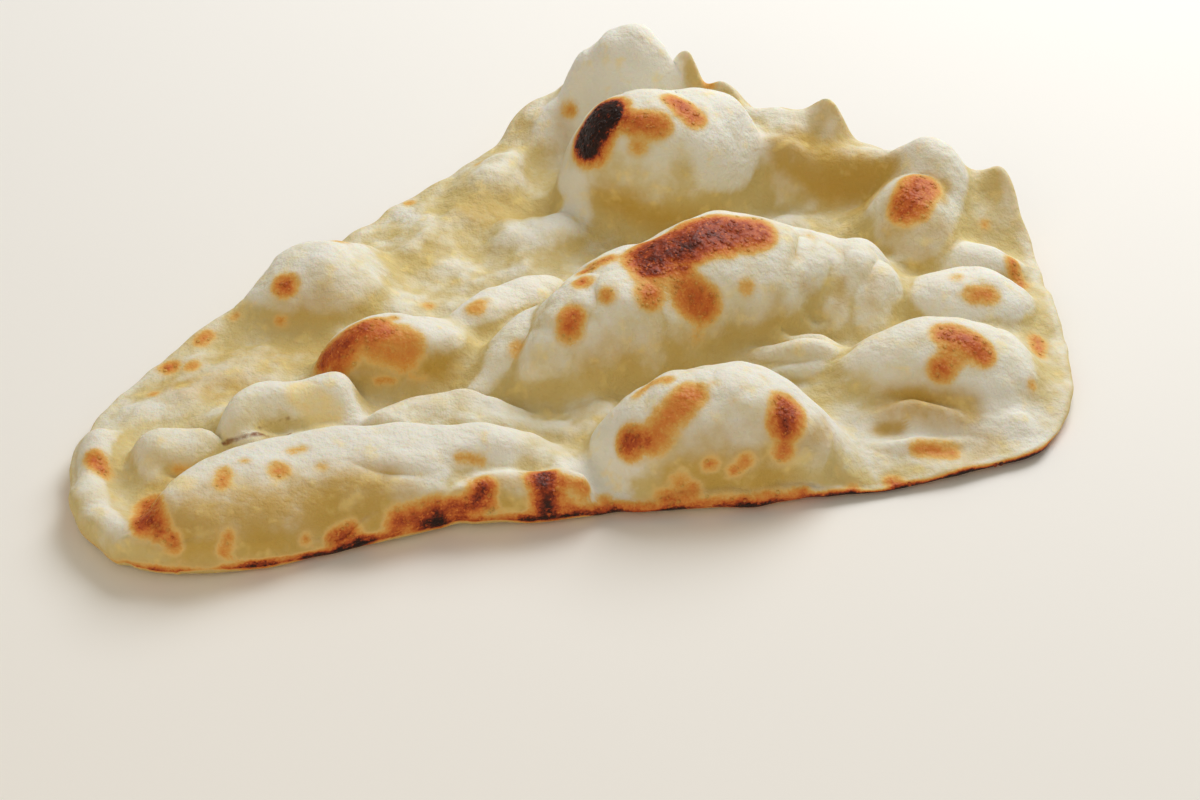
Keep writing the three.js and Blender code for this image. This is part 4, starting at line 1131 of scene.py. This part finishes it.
# %% Choose the scorched skin that faces up, and put a dome on each point
least_values = {"scorch_depth": given["From Depth"], "scorch_heat": given["From Heat"], "faces_up": 0.0}
chosen = 1.0
for name, least in least_values.items():
    value = add(scatter, "GeometryNodeInputNamedAttribute", {"Name": name}).outputs["Attribute"]
    above = add(scatter, "ShaderNodeMath", {0: value, 1: least}, operation="GREATER_THAN").outputs["Value"]
    chosen = add(scatter, "ShaderNodeMath", {0: chosen, 1: above}, operation="MULTIPLY").outputs["Value"]
spread = add(scatter, "GeometryNodeDistributePointsOnFaces", {
    "Mesh": given["Skin"], "Selection": chosen,
    "Density": given["Per Square Metre"], "Seed": given["Seed"],
})
share = add(scatter, "FunctionNodeRandomValue", {
    "Min": given["Smallest"], "Max": 1.0, "Seed": given["Seed"],
}, data_type="FLOAT")
width = add(scatter, "ShaderNodeMath", {0: share.outputs[1], 1: given["Width"]}, operation="MULTIPLY")
rise = add(scatter, "ShaderNodeMath", {0: width.outputs["Value"], 1: given["Flatness"]}, operation="MULTIPLY")
size = add(scatter, "ShaderNodeCombineXYZ", {
    "X": width.outputs["Value"], "Y": width.outputs["Value"], "Z": rise.outputs["Value"],
})
dome = add(scatter, "GeometryNodeMeshIcoSphere", {"Radius": 0.5, "Subdivisions": 2})
domes = add(scatter, "GeometryNodeInstanceOnPoints", {
    "Points": spread.outputs["Points"], "Instance": dome.outputs["Mesh"],
    "Rotation": spread.outputs["Rotation"], "Scale": size.outputs["Vector"],
})
joined = add(scatter, "GeometryNodeRealizeInstances", {"Geometry": domes.outputs["Instances"]})
smooth = add(scatter, "GeometryNodeSetShadeSmooth", {"Geometry": joined.outputs["Geometry"]})
finished = add(scatter, "GeometryNodeSetMaterial", {"Geometry": smooth.outputs[0], "Material": dough})
add(scatter, "NodeGroupOutput", {0: finished.outputs["Geometry"]})
print(scatter.name, "has", len(scatter.nodes), "nodes")

# %% Make the blisters a plain mesh
blisters = bpy.data.objects.new("scorch_blisters", bread_mesh)
bpy.context.scene.collection.objects.link(blisters)
scattering = blisters.modifiers.new("Blisters on scorched skin", "NODES")
scattering.node_group = scatter
for name, value in BLISTER_SIZES.items():
    scattering[blister_inputs[name].identifier] = value
scattering[seed_input.identifier] = BLISTER_SEED
depsgraph = bpy.context.evaluated_depsgraph_get()
blister_mesh = bpy.data.meshes.new_from_object(
    blisters.evaluated_get(depsgraph), preserve_all_data_layers=True, depsgraph=depsgraph)
blister_mesh.name = "scorch_blisters"
blisters.modifiers.clear()
blisters.data = blister_mesh
print("blisters:", len(blister_mesh.vertices), "points,", len(blister_mesh.polygons), "triangles")

# %% [markdown]
# ## The studio
# A pale table, a large soft light behind and above, a weak warm one in front, and a dim room.

# %% Floor
FLOOR_REACH = 3            # metres from the middle, so that no edge shows
corners = [(-FLOOR_REACH, -FLOOR_REACH, 0), (FLOOR_REACH, -FLOOR_REACH, 0),
           (FLOOR_REACH, FLOOR_REACH, 0), (-FLOOR_REACH, FLOOR_REACH, 0)]
floor_mesh = bpy.data.meshes.new("floor")
floor_mesh.from_pydata(corners, [], [(0, 1, 2, 3)])
floor = bpy.data.objects.new("floor", floor_mesh)
bpy.context.scene.collection.objects.link(floor)
paper = bpy.data.materials.new("matt_white_paper")
paper.use_nodes = True
paper_shader = paper.node_tree.nodes["Principled BSDF"]
paper_shader.inputs["Base Color"].default_value = srgb("#f6f4f0")
paper_shader.inputs["Roughness"].default_value = 0.9
floor_mesh.materials.append(paper)

# %% Lights and room
# name: place and size in metres, power in watts, colour as linear numbers
LIGHTS = {
    "window_behind": ((0.42, 0.70, 0.74), 0.7, 10.35, (0.985, 1, 1.015)),
    "warm_room_in_front": ((-0.3, -0.8, 0.5), 0.8, 2.4, (1, 0.82, 0.58)),
}
for name, (lamp_place, size, power, lamp_colour) in LIGHTS.items():
    data = bpy.data.lights.new(name, "AREA")
    data.size, data.energy, data.color = size, power, lamp_colour
    lamp = bpy.data.objects.new(name, data)
    lamp.location = lamp_place
    lamp.rotation_euler = (-Vector(lamp_place)).to_track_quat("-Z", "Y").to_euler()
    bpy.context.scene.collection.objects.link(lamp)
world = bpy.data.worlds.new("room")
bpy.context.scene.world = world
world.use_nodes = True
room = world.node_tree.nodes["Background"]
room.inputs["Color"].default_value = (1, 0.95, 0.85, 1)
room.inputs["Strength"].default_value = 0.32
bpy.context.scene.view_settings.view_transform = "Standard"
print(len(LIGHTS), "lights")

# %% [markdown]
# ## The camera
# A long lens from not quite a metre away: the near edge looms a little, and the bubbles hide
# part of the dough behind them.

# %% Camera
CAMERA_ELEVATION = math.radians(37)
CAMERA_DISTANCE = 0.740
CAMERA_LENS, SENSOR_WIDTH = 85, 36
AIM_ON_PLAN = Vector((5.0, -25.0, 0.0))
CAMERA_AIM = (AIM_ON_PLAN + Vector((*PLAN_SHIFT, 0))) * MM
looking = Vector((0, math.cos(CAMERA_ELEVATION), -math.sin(CAMERA_ELEVATION)))
camera_data = bpy.data.cameras.new("camera")
camera_data.lens = CAMERA_LENS
camera_data.sensor_width = SENSOR_WIDTH
camera = bpy.data.objects.new("camera", camera_data)
bpy.context.scene.collection.objects.link(camera)
camera.location = CAMERA_AIM - looking * CAMERA_DISTANCE
camera.rotation_euler = looking.to_track_quat("-Z", "Y").to_euler()
bpy.context.scene.camera = camera
print("camera at", [round(c, 3) for c in camera.location])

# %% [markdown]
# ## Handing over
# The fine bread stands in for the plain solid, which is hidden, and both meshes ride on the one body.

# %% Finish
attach(bread, "root")
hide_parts("naan")
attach(blisters, "root")
